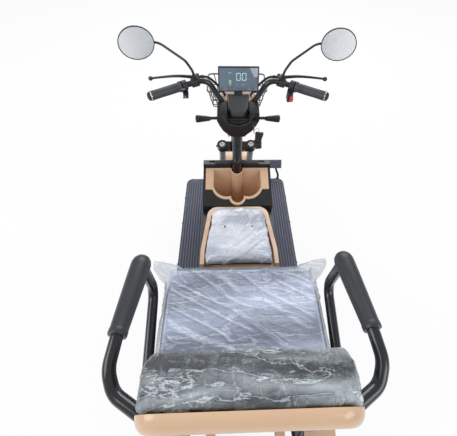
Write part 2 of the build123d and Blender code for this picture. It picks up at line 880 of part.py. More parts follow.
def grip():
    inner = grip_point(213)
    sleeve = rod(inner, grip_end, grip_radius)
    return sleeve - rod(grip_point(205), bar_end, bar_radius + 0.05)


def bar_sleeve(low, high, radius):
    """A sleeve round the straight run beside the grip."""
    return rod(grip_point(low), grip_point(high), radius)


def perch_point(x):
    share = (x - rise[0]) / (wrist[0] - rise[0])
    return (x, rise[1] + share * (wrist[1] - rise[1]), rise[2] + share * (wrist[2] - rise[2]))


lever_pivot = (161, 60)
lever_eye_radius = 7.5
lever_eye = (384, 392)
lever_pin = 2.5
clamp_span = (147, 172)
clamp_front = lever_pivot[1] + 8
mirror_boss = (162, 31)
mirror_boss_top = 416


def lever_clamp():
    """Clamp on the bar with a boss for the mirror, and a clevis with the lever's pin."""
    px, py = lever_pivot
    clamp = rod(perch_point(clamp_span[0]), perch_point(clamp_span[1]), bar_radius + 6)
    clamp += block(clamp_span, (32, clamp_front), (lever_eye[0] - 6, lever_eye[1] + 6))
    clamp += rod((*mirror_boss, 396), (*mirror_boss, mirror_boss_top), 8)
    slot_y = (py - lever_eye_radius - 1, clamp_front + 1)
    slot_x = (px - lever_eye_radius - 0.5, clamp_span[1] + 1)
    clamp -= block(slot_x, slot_y, (lever_eye[0] - rest_gap, lever_eye[1] + rest_gap))
    clamp += rod((px, py, lever_eye[0] - 5), (px, py, lever_eye[1] + 5), lever_pin)
    return clamp - bar_tube(bar_radius + 0.05)


def lever_blade():
    """Brake lever: an eye on the pin, and a blade that ends in a ball."""
    px, py = lever_pivot
    low, high = lever_eye
    eye = rod((px, py, low), (px, py, high), lever_eye_radius)
    eye += block((px, px + 21), (py - 3.5, py + 3.5), lever_eye)
    blade = bent_tube([(px + 18, py + 1, 388), (px + 42, py + 2, 392), (318, 24, 416)], [30], 5.5)
    hole = rod((px, py, low - 1), (px, py, high + 1), lever_pin + hinge_gap)
    return eye + blade + Pos(318, 24, 416) * Sphere(8.5) - hole


mirror_centre = (363, 118, 492)
mirror_normal = Vector(-0.19, -0.95, 0.25).normalized()


def mirror_stem():
    """Rod from the lever clamp up and out to the mirror."""
    hub = Vector(*mirror_centre) - mirror_normal * 14
    points = [(*mirror_boss, 412), (164, 36, 440), (190, 62, 466), (292, 142, 480), (hub.X, hub.Y, hub.Z)]
    return bent_tube(points, [30, 40, 60], 4.5) - mirror_head() - lever_clamp()


def mirror_head():
    """Round mirror housing, dished behind."""
    plane = Plane(origin=mirror_centre, z_dir=mirror_normal)
    rim = extrude(plane * Circle(mirror_radius), -13)
    back_edge = rim.faces().filter_by(GeomType.PLANE).sort_by(Axis.Y)[-1].edges()
    return fillet(back_edge, 9) - extrude(plane * Circle(mirror_radius - 3), -3)


def mirror_glass():
    plane = Plane(origin=mirror_centre, z_dir=mirror_normal)
    return Pos(*(mirror_normal * -3)) * extrude(plane * Circle(mirror_radius - 3.05), 2)


def grip_space():
    return rod(grip_point(212.6), grip_point(230), 40)


def switch_left():
    body = bar_sleeve(194, 210, 20)
    lobe = block((186, 206), (-14, 8), (352, 372))
    return (body + lobe) - bar_tube(bar_radius + 0.05) - grip_space()


def switch_right():
    body = bar_sleeve(194, 210, 20)
    lobe = block((184, 206), (-16, 12), (334, 376))
    return (body + lobe) - bar_tube(bar_radius + 0.05) - grip_space()


def red_buttons():
    upper = rod((197, -16, 362), (197, -21, 362), 6)
    lower = rod((197, -16, 346), (197, -21, 346), 6)
    return solids_of(steer(upper), steer(lower))


def steered_pair(shape):
    """A piece drawn about the steering axis, with its mirror, placed on the trike."""
    return solids_of(steer(shape), steer(other_side(shape)))


save("handlebar", steer(bar_tube(bar_radius)))
save("lever_clamps", steered_pair(lever_clamp()))
mirror_arm = mirror_head() + mirror_stem()
for shape, name in ((grip(), "grip"), (lever_blade(), "brake_lever"), (mirror_arm, "mirror"),
                    (mirror_glass(), "mirror_glass")):
    save(f"{name}_right", steer(shape))
    save(f"{name}_left", steer(other_side(shape)))
save("switches", solids_of(steer(other_side(switch_left())), steer(switch_right())))
save("red_buttons", red_buttons())


# ------------------------------------------------------------------ cowl and headlight
head_clear = 50


def shield_body(points, y, corner):
    """A solid from corners (x, z) on the steering axis's front view, rounded at its corners."""
    face = make_face(Plane.XZ * Polyline(*points, close=True))
    body = Pos(0, y[0], 0) * extrude(face, y[1] - y[0], dir=(0, 1, 0))
    return fillet(body.edges().filter_by(Axis.Y), corner)


def inset(points, amount):
    """Corners moved in towards the outline's middle by about one wall."""
    middle = sum(z for _, z in points) / len(points)
    moved = []
    for x, z in points:
        reach_x = (abs(x) - amount) / abs(x)
        reach_z = amount * 0.9 if z < middle else -amount * 0.9
        moved.append((x * reach_x, z + reach_z))
    return moved


cowl_outline = [(-80, 316), (-83, 270), (-74, 238), (-58, 198), (-26, 158),
                (26, 158), (58, 198), (74, 238), (83, 270), (80, 316)]
nacelle_outline = [(-64, 306), (-70, 270), (-62, 200), (-50, 120), (-34, 62),
                   (34, 62), (50, 120), (62, 200), (70, 270), (64, 306)]
cover_half = 42
cover_rear = -40
cover_front = 24
cover_top = 340
cowl_front = 4
nacelle_rear = cowl_front + rest_gap


def cowl():
    """Cover behind the headstock, open in front and round the handlebar clamp."""
    outer = shield_body(cowl_outline, (-cowl_depth, cowl_front), 9)
    inner = shield_body(inset(cowl_outline, cowl_wall), (-cowl_depth + cowl_wall, cowl_front + 4), 6)
    body = outer - inner
    body -= Pos(0, 0, 150) * Cylinder(head_clear, 110)
    room = cover_half + rest_gap
    body -= block((-room, room), (-cowl_depth - 1, 10), (266, 330))
    return steer(body - bar_tube(bar_radius + 2))


nacelle_front = 74
nacelle_corner = 12
nacelle_round = 8


def nacelle_outer():
    body = shield_body(nacelle_outline, (nacelle_rear, nacelle_front), nacelle_corner)
    return fillet(body.faces().sort_by(Axis.Y)[-1].edges(), nacelle_round)


def nacelle():
    """Headlight cover ahead of the headstock, open behind."""
    outer = nacelle_outer()
    inner = shield_body(inset(nacelle_outline, 3), (nacelle_rear - 2, nacelle_front - 3), 9)
    body = outer - inner
    body -= Pos(0, 0, 100) * Cylinder(head_tube_radius + 9, 250)
    room = cover_half + rest_gap
    body -= block((-room, room), (0, cover_front + rest_gap), (266, cover_top + 1))
    return steer(body - bar_tube(bar_radius + 2))


headlight_height = 96
headlight_depth = 22


def headlight():
    """Flared ring that carries the lens ahead of the cover."""
    middle = Pos(0, nacelle_front + headlight_depth / 2, headlight_height)
    return steer(middle * Rot(-90, 0, 0) * Cone(36, 45, headlight_depth))


def headlight_lens():
    front = nacelle_front + headlight_depth
    lens = rod((0, front, headlight_height), (0, front + 5, headlight_height), 43)
    return steer(fillet(lens.faces().sort_by(Axis.Y)[-1].edges(), 3))


def stem_clamp():
    base = block((-24, 24), (-18, 20.8), (clamp_low, bar_height))
    return steer(base - rod((-30, bar_ahead, bar_height), (30, bar_ahead, bar_height), bar_radius))


def clamp_cover():
    """Sloping cover over the handlebar clamp."""
    wall = 3
    low, bend, crest = 268, 299, 11
    outline = [(cover_rear, low), (cover_rear, bend), (crest, cover_top), (cover_front, cover_top),
               (cover_front, low)]
    rear, front, top = cover_rear + wall, cover_front - wall, cover_top - wall - 0.5
    inside = [(rear, low - 8), (rear, bend - 2), (crest + 1, top), (front, top), (front, low - 8)]
    body = side_profile(outline, (-cover_half, cover_half))
    body -= side_profile(inside, (wall - cover_half, cover_half - wall))
    return steer(body - bar_tube(bar_radius + 0.05))


display_tilt = -17.8 - rake
display_place = (29, 408)


def on_display(shape):
    return steer(Pos(0, *display_place) * Rot(display_tilt, 0, 0) * shape)


def display():
    body = Pos(0, display_depth / 2, 0) * Box(display_width, display_depth, display_height)
    return on_display(fillet(body.edges().filter_by(Axis.Y), 4))


def display_bracket():
    low = block((-16, 16), (14, 22), (340, 372))
    arm = side_profile([(14, 340), (22, 340), (50, 396), (44, 404), (36, 392)], (-16, 16))
    return steer(arm) - display()


def turn_signal():
    stalk = rod((73, -22, 242), (112, -25, 249), 5)
    lamp = block((108, 166), (-38, -12), (236, 262))
    body = shield_body(cowl_outline, (-cowl_depth, cowl_front), 9)
    return (stalk - body) + fillet(lamp.edges(), 9)


def key_switch():
    return steer(rod((60, -cowl_depth - 0.2, 262), (60, -cowl_depth - 12, 262), 13))


def key_set():
    """Key in its lock, a ring, and two fobs that hang from it."""
    lock = Vector(*steer_point(60, -cowl_depth - 12.2, 262))
    head = Vector(*steer_point(60, -cowl_depth - 38, 262))
    shank = rod(lock, head, 3)
    bow = Pos(*head) * Box(3.5, 24, 22)
    ring_centre = head + Vector(13, -4, -14)
    ring = Pos(*ring_centre) * Rot(90, 0, 30) * Torus(13, 1.4)
    upper = Pos(*(ring_centre + Vector(11, 2, -30))) * Box(32, 13, 42)
    lower = Pos(*(ring_centre + Vector(13, 2, -74))) * Box(30, 12, 54)
    upper = fillet(upper.edges(), 5)
    lower = fillet(lower.edges(), 5)
    loop = Pos(*(ring_centre + Vector(12, 2, -50))) * Box(6, 4, 12)
    return shank + bow + ring + upper + lower + loop


def loom():
    """Wrapped cable bundle from the lever clamp into the top of the headlight cover."""
    points = [(clamp_span[0], 58, 388), (124, 62, 394), (94, 60, 368), (68, 50, 338), (50, 44, 306.2)]
    bundle = bent_tube(points, [30, 40, 40], 5)
    return bundle - lever_clamp() - nacelle_outer()


save("clamp_cover", clamp_cover())
save("cowl", cowl())
save("headlight_cover", solids_of(nacelle(), headlight()))
save("headlight_lens", headlight_lens())
save("display", display())
save("turn_signals", steered_pair(turn_signal()))
save("key_set", solids_of(key_switch(), key_set()))
save("cable_looms", steered_pair(loom()))


# ------------------------------------------------------------------ basket
def basket_block(grow):
    """Flared body of the basket between its floor and its rim, grown all round."""
    low = basket_bottom - grow
    floor = Pos(0, back((basket_near + basket_far) / 2), low) * RectangleRounded(
        2 * (basket_half_width - 18 + grow), basket_far - basket_near - 32 + 2 * grow, 24 + grow)
    rim = Pos(0, back((basket_near + basket_far) / 2), basket_top) * RectangleRounded(
        2 * (basket_half_width + grow), basket_far - basket_near + 2 * grow, 30 + grow)
    return loft([floor, rim])


def basket():
    return basket_block(0) - Pos(0, 0, 0.51) * basket_block(-basket_wall)


def basket_bracket():
    """Two rods that carry the basket on the headlight cover."""
    rods = []
    for side in (-1, 1):
        x = side * 34
        start = steer_point(x, nacelle_front - 2.8, 250)
        rods.append(rod(start, (x, back(960), 800), 6) - basket_block(0) - steer(nacelle_outer()))
    return solids_of(*rods)


save("basket", basket())
save("steering_brackets", solids_of(stem_clamp(), display_bracket(), basket_bracket()))
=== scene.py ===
import json
import math

import bmesh
import bpy
from mathutils import Matrix, Vector, noise


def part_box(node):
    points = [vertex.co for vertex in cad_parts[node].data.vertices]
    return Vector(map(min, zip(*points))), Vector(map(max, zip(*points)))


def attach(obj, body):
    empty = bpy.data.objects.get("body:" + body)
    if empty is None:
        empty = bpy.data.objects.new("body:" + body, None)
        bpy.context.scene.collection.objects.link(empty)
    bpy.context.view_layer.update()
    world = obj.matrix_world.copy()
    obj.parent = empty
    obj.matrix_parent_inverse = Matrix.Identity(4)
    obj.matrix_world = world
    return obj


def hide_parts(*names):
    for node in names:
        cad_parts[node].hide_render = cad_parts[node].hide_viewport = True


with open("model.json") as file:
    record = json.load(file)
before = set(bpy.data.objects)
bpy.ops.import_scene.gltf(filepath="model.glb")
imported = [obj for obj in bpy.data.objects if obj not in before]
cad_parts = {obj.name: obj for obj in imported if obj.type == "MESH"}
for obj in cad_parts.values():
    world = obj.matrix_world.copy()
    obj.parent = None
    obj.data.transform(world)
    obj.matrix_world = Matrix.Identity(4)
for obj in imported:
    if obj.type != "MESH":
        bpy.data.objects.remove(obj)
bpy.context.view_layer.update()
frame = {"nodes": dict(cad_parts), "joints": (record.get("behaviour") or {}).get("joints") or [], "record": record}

nodes = frame["nodes"]
ops = bpy.ops
shift = Matrix.Translation
TAU = 2 * math.pi

# the camera's place in metres, its yaw, pitch and roll in degrees, its lens in mm and its shift
CAMERA_PLACE, CAMERA_TURN = (-0.042, -0.7975, 1.614), (3.18, 42.97, 1.84)
CAMERA_LENS, CAMERA_SHIFT = 26.59, (-0.028, -0.133)
# the wheels' centres in metres: along the trike, above the floor, and either side of the middle
FRONT_AXLE, REAR_AXLE, WHEEL_HEIGHT, HALF_TRACK = 0.5475, -0.5075, 0.195, 0.22
# how far the film's fold over the rider's cushion lies inside the cushion's edge
FILM_INSET = 0.003


# ---------------------------------------------------------------- working on pieces
def deselect():
    ops.object.select_all(action="DESELECT")


def pick(obj):
    """Make one object the only one selected, and active."""
    deselect()
    obj.select_set(True)
    bpy.context.view_layer.objects.active = obj
    return obj


def edit(obj, chosen="DESELECT"):
    """Open a piece in edit mode, with nothing or all of it selected."""
    pick(obj)
    ops.object.mode_set(mode="EDIT")
    ops.mesh.select_all(action=chosen)


def close_edit(obj):
    bmesh.update_edit_mesh(obj.data)
    ops.object.mode_set(mode="OBJECT")
    return obj


def face_outward(obj):
    """Turn every face to the outside, and leave edit mode."""
    ops.mesh.select_all(action="SELECT")
    ops.mesh.normals_make_consistent(inside=False)
    return close_edit(obj)


def select(obj, mode, choose):
    """Select the faces, edges or verts that choose() accepts, in edit mode."""
    mesh = bmesh.from_edit_mesh(obj.data)
    ops.mesh.select_mode(type=mode[:-1].upper())
    ops.mesh.select_all(action="DESELECT")
    for part in getattr(mesh, mode):
        part.select_set(bool(choose(part)))
    if mode == "verts":
        mesh.select_flush(True)
    bmesh.update_edit_mesh(obj.data)


def modify(obj, kind, **settings):
    """Add a modifier, set it and apply it."""
    pick(obj)
    step = obj.modifiers.new(kind.title(), kind)
    for name, value in settings.items():
        setattr(step, name, value)
    ops.object.modifier_apply(modifier=step.name)
    return obj


def bevel_edges(obj, width, segments, **limit):
    """Round the sharp edges; what counts as sharp is Blender's own angle, or one that is given."""
    return modify(obj, "BEVEL", width=width, segments=segments, limit_method="ANGLE", **limit)


def squeeze(obj, choose, shares, centre):
    """Scale the verts that choose() accepts, about a centre."""
    edit(obj)
    select(obj, "verts", choose)
    ops.transform.resize(value=shares, center_override=centre)
    return close_edit(obj)


def settle(obj):
    """Put the object's own place into its mesh, so that the object sits at the origin."""
    pick(obj)
    ops.object.transform_apply(location=True, rotation=True, scale=True)
    return obj


def join(parts):
    deselect()
    for part in parts:
        part.select_set(True)
    bpy.context.view_layer.objects.active = parts[0]
    ops.object.join()
    return parts[0]


def piece(made, name, body, slot, replaces=(), angle=35, finish=None):
    """Name a piece (a list of parts is joined), give it its finish, and let it ride on its body."""
    obj = settle(join(made) if isinstance(made, list) else made)
    ops.object.shade_smooth_by_angle(angle=math.radians(angle))
    obj.name = name
    obj.data.materials.clear()
    obj.data.materials.append(finish or finishes[slot])
    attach(obj, body)
    if replaces:
        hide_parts(*replaces)
    return obj


def cube(low, high, bevel=0.0, segments=3):
    """A block between two corners, with rounded edges."""
    low, high = Vector(low), Vector(high)
    ops.mesh.primitive_cube_add(size=1, location=(low + high) / 2)
    obj = bpy.context.object
    obj.scale = high - low
    settle(obj)
    return bevel_edges(obj, bevel, segments) if bevel else obj


def ribs(count, start, pitch, half, low, high):
    """A row of ribs along X, each between two (y, z) corners and twice half wide."""
    places = [start + pitch * step for step in range(count)]
    return [cube((x - half, *low), (x + half, *high), 0.0008, 2) for x in places]


def rod(start, end, radius, bevel):
    """A round bar between two points, with softened ends."""
    start, end = Vector(start), Vector(end)
    ops.mesh.primitive_cylinder_add(vertices=12, radius=radius, depth=(end - start).length)
    obj = bpy.context.object
    obj.rotation_mode = "QUATERNION"
    obj.rotation_quaternion = (end - start).to_track_quat("Z", "Y")
    obj.location = (start + end) / 2
    settle(obj)
    return bevel_edges(obj, bevel, 3)


def path_curve(points, order, closed=False, taper=None):
    """A smooth curve through control points, still without thickness."""
    ops.curve.primitive_nurbs_path_add()
    obj = settle(bpy.context.object)
    obj.data.splines.clear()
    spline = obj.data.splines.new("NURBS")
    spline.points.add(len(points) - 1)
    for index, (point, place) in enumerate(zip(spline.points, points)):
        point.co = (*place, 1)
        point.radius = taper(index / (len(points) - 1)) if taper else 1
    spline.order_u = min(order, len(points))
    spline.use_endpoint_u = not closed
    spline.use_cyclic_u = closed
    return obj


def thicken(curve, radius, resolution):
    curve.bevel_depth, curve.bevel_resolution, curve.use_fill_caps = radius, resolution, True


def wire(points, radius, closed=False, order=3, resolution=6, taper=None):
    """A smooth round wire through control points, as a mesh."""
    obj = path_curve(points, order, closed, taper)
    obj.data.resolution_u = resolution
    thicken(obj.data, radius, 3)
    pick(obj)
    ops.object.convert(target="MESH")
    return bpy.context.object


def round_corners(ends):
    """A closed outline: the points round one corner, mirrored to the other three."""
    outline = []
    for sign_x, sign_y in ((1, 1), (-1, 1), (-1, -1), (1, -1)):
        corner = ends if sign_x * sign_y > 0 else ends[::-1]
        outline += [(sign_x * x, sign_y * y) for x, y in corner]
    return outline


def copy_node(node):
    """A copy of a CAD node's mesh, merged, as the start of a piece."""
    obj = nodes[node].copy()
    obj.data = nodes[node].data.copy()
    obj.parent = None
    forget(obj)
    bpy.context.scene.collection.objects.link(obj)
    obj.hide_render = obj.hide_viewport = False
    edit(obj, "SELECT")
    ops.mesh.remove_doubles(threshold=0.00002)
    ops.mesh.dissolve_limited(angle_limit=math.radians(2))
    return close_edit(obj)


def forget(obj):
    """Drop what a copy has noted of the piece that it was copied from."""
    for key in list(obj.keys()):
        del obj[key]


# ---------------------------------------------------------------- materials
class Wire:
    """A socket that maths can be written with; each operation adds a Math node."""

    def __init__(self, tree, socket):
        self.tree, self.socket = tree, socket

    def math(self, operation, *values):
        node = self.tree.nodes.new("ShaderNodeMath")
        node.operation = operation
        for place, value in enumerate((self, *values)):
            plug(self.tree, value, node.inputs[place])
        return Wire(self.tree, node.outputs[0])

    def __add__(self, other):
        return self.math("ADD", other)

    def __mul__(self, other):
        return self.math("MULTIPLY", other)

    def __sub__(self, other):
        return self.math("SUBTRACT", other)

    def __rsub__(self, other):
        return self * -1 + other

    def between(self, low, high):
        """0 under low, 1 over high, and smooth between."""
        node = self.tree.nodes.new("ShaderNodeMapRange")
        node.interpolation_type = "SMOOTHSTEP"
        for name, value in (("Value", self), ("From Min", low), ("From Max", high)):
            plug(self.tree, value, node.inputs[name])
        return Wire(self.tree, node.outputs["Result"])


def plug(tree, value, socket):
    if isinstance(value, Wire):
        tree.links.new(value.socket, socket)
    else:
        socket.default_value = value


class Finish:
    """A material under construction: nodes by type, patterns, and its shader."""

    def __init__(self, name):
        self.material = bpy.data.materials.new(name)
        self.material.use_nodes = True
        self.tree = self.material.node_tree
        self.shader = self.tree.nodes["Principled BSDF"]
        self.place = self.node("TexCoord", output="Object")

    def node(self, kind, values=None, output=0, **settings):
        made = self.tree.nodes.new("ShaderNode" + kind)
        for name, value in settings.items():
            setattr(made, name, value)
        for name, value in (values or {}).items():
            plug(self.tree, value, made.inputs[name])
        return Wire(self.tree, made.outputs[output])

    def noise(self, scale, detail=4, rough=0.5, at=None, warp=0.0):
        return self.node("TexNoise", {"Vector": at or self.place, "Scale": scale, "Detail": detail,
                                      "Roughness": rough, "Distortion": warp})

    def cells(self, scale):
        return self.node("TexVoronoi", {"Vector": self.place, "Scale": scale}, "Distance")

    def stretched(self, scale, turn):
        return self.node("Mapping", {"Vector": self.place, "Scale": scale, "Rotation": (0, 0, turn)})

    def along(self, axis):
        """The place along one axis of the piece, in metres."""
        return self.node("SeparateXYZ", {"Vector": self.place}, axis)

    def blend(self, share, low, high):
        """A colour between two, by a share from 0 to 1."""
        values = {"Factor": share}
        for socket, value in ((6, low), (7, high)):
            values[socket] = value if isinstance(value, Wire) else (*value, 1)
        return self.node("Mix", values, 2, data_type="RGBA")

    def bump(self, height, strength, distance, over=None):
        values = {"Height": height, "Strength": strength, "Distance": distance}
        return self.node("Bump", {**values, "Normal": over} if over else values)

    def rounded(self, radius):
        """A normal that rounds the edges."""
        return self.node("Bevel", {"Radius": radius}, samples=4)

    def set(self, **values):
        for name, value in values.items():
            plug(self.tree, value, self.shader.inputs[name.replace("_", " ")])
        return self.material


def dimmed(colour, share):
    return tuple(part * share for part in colour)


def leatherette():
    f = Finish("black leatherette")
    grain = f.cells(1400).between(0.02, 0.55)
    broad = f.noise(14, 5)
    colour = f.blend(broad, (0.018, 0.019, 0.024), (0.035, 0.037, 0.044))
    normal = f.bump(broad, 0.3, 0.004, f.bump(grain, 0.35, 0.0006))
    return f.set(Base_Color=colour, Roughness=broad * 0.2 + 0.34, Normal=normal, Specular_IOR_Level=0.6)


def film(name, scale, dark, pale, glare, sheen_strength, fold_turn, cover_low, fold_light_strength=1.0, edges=None):
    """Clear wrapping film: a painted broad sheen, painted highlights along its sharp folds and crinkles (which
    also get a bump), painted shade past the cushion's edge where edges are given, and dark stuff seen through it.
    """
    f = Finish(name)
    along = f.stretched((0.6, 2.8, 1), fold_turn)
    across = f.stretched((2.2, 0.8, 1), fold_turn * 0.55)
    long_folds = (f.noise(scale, 6, 0.58, along, 0.3) - 0.5).math("ABSOLUTE")
    cross_folds = (f.noise(scale * 1.5, 5, 0.55, across, 0.4) - 0.5).math("ABSOLUTE")
    crinkles = (f.noise(scale * 3.4, 4, 0.6, along, 0.6) - 0.5).math("ABSOLUTE")
    # Painted highlights: bright lines along the fold ridges and across the creases, and glints on the crinkles in
    # patches.
    ridge_highlights = 1 - long_folds.between(0.0, 0.02)
    creases = 1 - cross_folds.between(0.0, 0.014)
    painted_glints = 1 - crinkles.between(0.0, 0.03)
    glint_patches = f.noise(scale * 1.2, 4, 0.55, along, 0.4).between(0.5, 0.62)
    # A painted broad sheen.
    sheen = f.noise(scale * 0.5, 4, 0.5, along, 0.3).between(0.3, 0.66)
    # Painted shade: a darker band beside each fold ridge.
    flanks = long_folds.between(0.02, 0.06)
    # bright is the painted light on the film: sheen and highlights, less the painted shade. It also sets how rough
    # and how opaque the film is.
    bright = sheen * sheen_strength + ridge_highlights * 0.3 * fold_light_strength + creases * 0.16 * fold_light_strength
    bright = bright + painted_glints * glint_patches * 0.28 * fold_light_strength - flanks * -0.14 * fold_light_strength - 0.14 * fold_light_strength
    bright = bright.math("MAXIMUM", 0.0).math("MINIMUM", 1.0)
    # Painted shade: where the film passes the cushion's top edge and runs down its sides, it is darkened and made
    # clearer.
    past_edge = 0.0
    if edges:
        half, middle, span, width = edges
        side = f.along(0).math("ABSOLUTE") - (half - width)
        ends = (f.along(1) - middle).math("ABSOLUTE") - (span - width)
        past_edge = side.math("MAXIMUM", ends).between(0.0, width * 0.6)
    bright = bright * (1 - past_edge * 0.85)
    # dark is the stuff seen through the film and the colour of the painted shade; pale is a painted sky
    # reflection, and glare a painted highlight on the ridges.
    colour = f.blend(ridge_highlights * 0.35 * fold_light_strength, f.blend(bright, dark, pale), glare)
    cover = (bright * (1 - cover_low) + cover_low).math("MINIMUM", 1.0) * (1 - past_edge * 0.4)
    height = long_folds * 1.4 + cross_folds * 0.7 + crinkles * 0.35
    return f.set(Base_Color=colour, Roughness=bright * 0.08 + 0.14, Alpha=cover,
                 Normal=f.bump(height, 0.75, 0.01), Specular_IOR_Level=0.8, Coat_Weight=0.5,
                 Coat_Roughness=0.05)


def beige_plastic():
    f = Finish("beige glossy plastic")
    tone = f.noise(5, 3)
    scuffs = f.noise(60, 8, 0.7).between(0.62, 0.8)
    colour = f.blend(tone, (0.70, 0.455, 0.285), (0.76, 0.51, 0.33))
    ripple = f.bump(f.noise(9, 2), 0.08, 0.01, f.rounded(0.0015))
    return f.set(Base_Color=f.blend(scuffs * 0.15, colour, (0.85, 0.7, 0.55)),
                 Roughness=scuffs * 0.15 + 0.22, Normal=ripple, Coat_Weight=0.35, Coat_Roughness=0.1)


def black_plastic(name="black glossy plastic", shine=0.24, tone=0.016, round_edge=0.0015):
    f = Finish(name)
    dust = f.noise(90, 8, 0.75).between(0.55, 0.85)
    smear = f.noise(7, 4)
    dark, pale = (tone, tone, tone * 1.08), (tone * 2.2, tone * 2.2, tone * 2.5)
    normal = f.bump(f.noise(700, 2), 0.05, 0.0004, f.rounded(round_edge))
    return f.set(Base_Color=f.blend(dust * 0.4, dark, pale), Roughness=smear * 0.14 + shine, Normal=normal)


def tinted_plastic(name, dark, pale):
    f = Finish(name)
    tone = f.noise(60, 4)
    return f.set(Base_Color=f.blend(tone, dark, pale), Roughness=tone * 0.1 + 0.22,
                 Normal=f.rounded(0.0008), Coat_Weight=0.3)


def painted_tube():
    f = Finish("black painted tube")
    peel = f.noise(320, 2)
    wear = f.noise(40, 6, 0.7).between(0.6, 0.8)
    colour = f.blend(wear * 0.3, (0.012, 0.012, 0.014), (0.05, 0.052, 0.058))
    return f.set(Base_Color=colour, Roughness=wear * 0.2 + 0.2, Normal=f.bump(peel, 0.06, 0.0006),
                 Coat_Weight=0.4, Coat_Roughness=0.12)


def soft_rubber(name, colour, rough=0.62, scale=900):
    f = Finish(name)
    grain = f.noise(scale, 3)
    bloom = f.noise(20, 6, 0.7).between(0.45, 0.8)
    pale = tuple(min(1, c * 1.7 + 0.01) for c in colour)
    return f.set(Base_Color=f.blend(bloom * 0.5, colour, pale), Roughness=bloom * 0.12 + rough,
                 Normal=f.bump(grain, 0.2, 0.0005, f.rounded(0.0012)))


def cast_metal(name, colour, rough=0.38, metal=0.9):
    f = Finish(name)
    grain = f.noise(420, 4)
    stain = f.noise(26, 7, 0.7).between(0.4, 0.75)
    return f.set(Base_Color=f.blend(stain * 0.5, colour, dimmed(colour, 0.6)), Metallic=metal,
                 Roughness=stain * 0.15 + rough, Normal=f.bump(grain, 0.12, 0.0005, f.rounded(0.0008)))


def clear_lens(name, colour, alpha):
    f = Finish(name)
    flutes = f.node("TexWave", {"Vector": f.place, "Scale": 55.0, "Distortion": 0.0},
                    wave_type="BANDS", bands_direction="X")
    return f.set(Base_Color=f.blend(f.noise(30, 3) * 0.4, colour, dimmed(colour, 0.6)), Roughness=0.12,
                 Alpha=alpha, Normal=f.bump(flutes, 0.35, 0.002), Coat_Weight=0.6)


def mirror_silver():
    f = Finish("mirror glass")
    haze = f.noise(50, 6, 0.7).between(0.5, 0.9)
    return f.set(Base_Color=f.blend(haze * 0.15, (0.97, 0.98, 1.0), (0.9, 0.92, 0.95)), Metallic=0.75,
                 Roughness=haze * 0.05 + 0.3)


def lit(name, colour, strength):
    """A lit bar of the display, a little uneven like a printed segment."""
    f = Finish(name)
    glow = f.noise(500, 2).between(0.2, 0.8) * 0.3 + 0.7
    shade = f.blend(glow, dimmed(colour, 0.5), colour)
    return f.set(Base_Color=shade, Roughness=0.3, Emission_Color=shade, Emission_Strength=strength)


def panel_glass():
    f = Finish("display glass")
    smear = f.noise(24, 5, 0.6)
    return f.set(Base_Color=f.blend(smear, (0.10, 0.135, 0.185), (0.15, 0.2, 0.26)),
                 Roughness=smear * 0.06 + 0.05, Coat_Weight=0.7, Specular_IOR_Level=0.8)


def foam_skin():
    f = Finish("smooth foam skin")
    pores = f.cells(1100).between(0.0, 0.4)
    sheen = f.noise(9, 4)
    return f.set(Base_Color=f.blend(sheen, (0.02, 0.021, 0.025), (0.036, 0.038, 0.045)),
                 Roughness=sheen * 0.1 + 0.38, Normal=f.bump(pores, 0.12, 0.0004), Coat_Weight=0.25,
                 Coat_Roughness=0.35)


finishes = {
    "black_leatherette": leatherette(),
    "beige_plastic": beige_plastic(),
    "black_plastic": black_plastic(),
    "black_trim": black_plastic("black satin plastic", 0.42, 0.018),
    "grey_plastic": black_plastic("grey moulded plastic", 0.5, 0.16),
    "black_tube": painted_tube(),
    "black_frame": painted_tube(),
    "mat_rubber": soft_rubber("blue-grey mat rubber", (0.045, 0.049, 0.068)),
    "grip_rubber": soft_rubber("soft black grip rubber", (0.022, 0.023, 0.027), 0.5),
    "tyre_rubber": soft_rubber("tyre rubber", (0.02, 0.02, 0.021), 0.7, 500),
    "cast_alloy": cast_metal("cast alloy", (0.5, 0.51, 0.53)),
    "plain_steel": cast_metal("plain steel", (0.42, 0.42, 0.43), 0.32),
    "bright_steel": cast_metal("bright steel", (0.8, 0.8, 0.82), 0.12, 1.0),
    "mirror_glass": mirror_silver(),
    "clear_lens": clear_lens("clear ribbed lens", (0.8, 0.84, 0.88), 0.55),
    "red_plastic": tinted_plastic("red button plastic", (0.62, 0.014, 0.02), (0.7, 0.06, 0.06)),
    # The film's pale and white colours are a painted sky reflection and a painted glare.
    "clear_film": film("clear film", 9, (0.1, 0.12, 0.15), (0.6, 0.65, 0.75), (1, 1, 1), 0.5, 0.4, 0.5),
    "red_lens": clear_lens("red lens", (0.42, 0.01, 0.012), 1.0),
    "amber_lens": clear_lens("amber lens", (0.75, 0.27, 0.02), 0.9),
}
# The films on the seats: their pale colours are a painted sky reflection and their glare colours painted
# highlights. The film on the rider's seat is darkened past the cushion's edges as painted shade.
cushion_low, cushion_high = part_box("seat_cushion")
cushion_edges = (cushion_high[0] - FILM_INSET, (cushion_low[1] + cushion_high[1]) / 2,
                 (cushion_high[1] - cushion_low[1]) / 2 - FILM_INSET, 0.014)
rider_wrap = film("clear film on the seat", 5, (0.27, 0.3, 0.39), (0.62, 0.68, 0.85), (0.95, 0.97, 1.0),
                  1.15, 0.55, 0.85, 0.8, cushion_edges)
back_wrap = film("clear film on the backrest", 9, (0.1, 0.112, 0.12), (0.58, 0.64, 0.68), (0.9, 0.94, 1.0),
                 0.9, 0.72, 0.5, 1.3)
child_wrap = film("clear film on the child's seat", 7, (0.46, 0.5, 0.59), (0.88, 0.9, 0.98), (1, 1, 1),
                  1.4, 0.7, 0.94, 0.7)
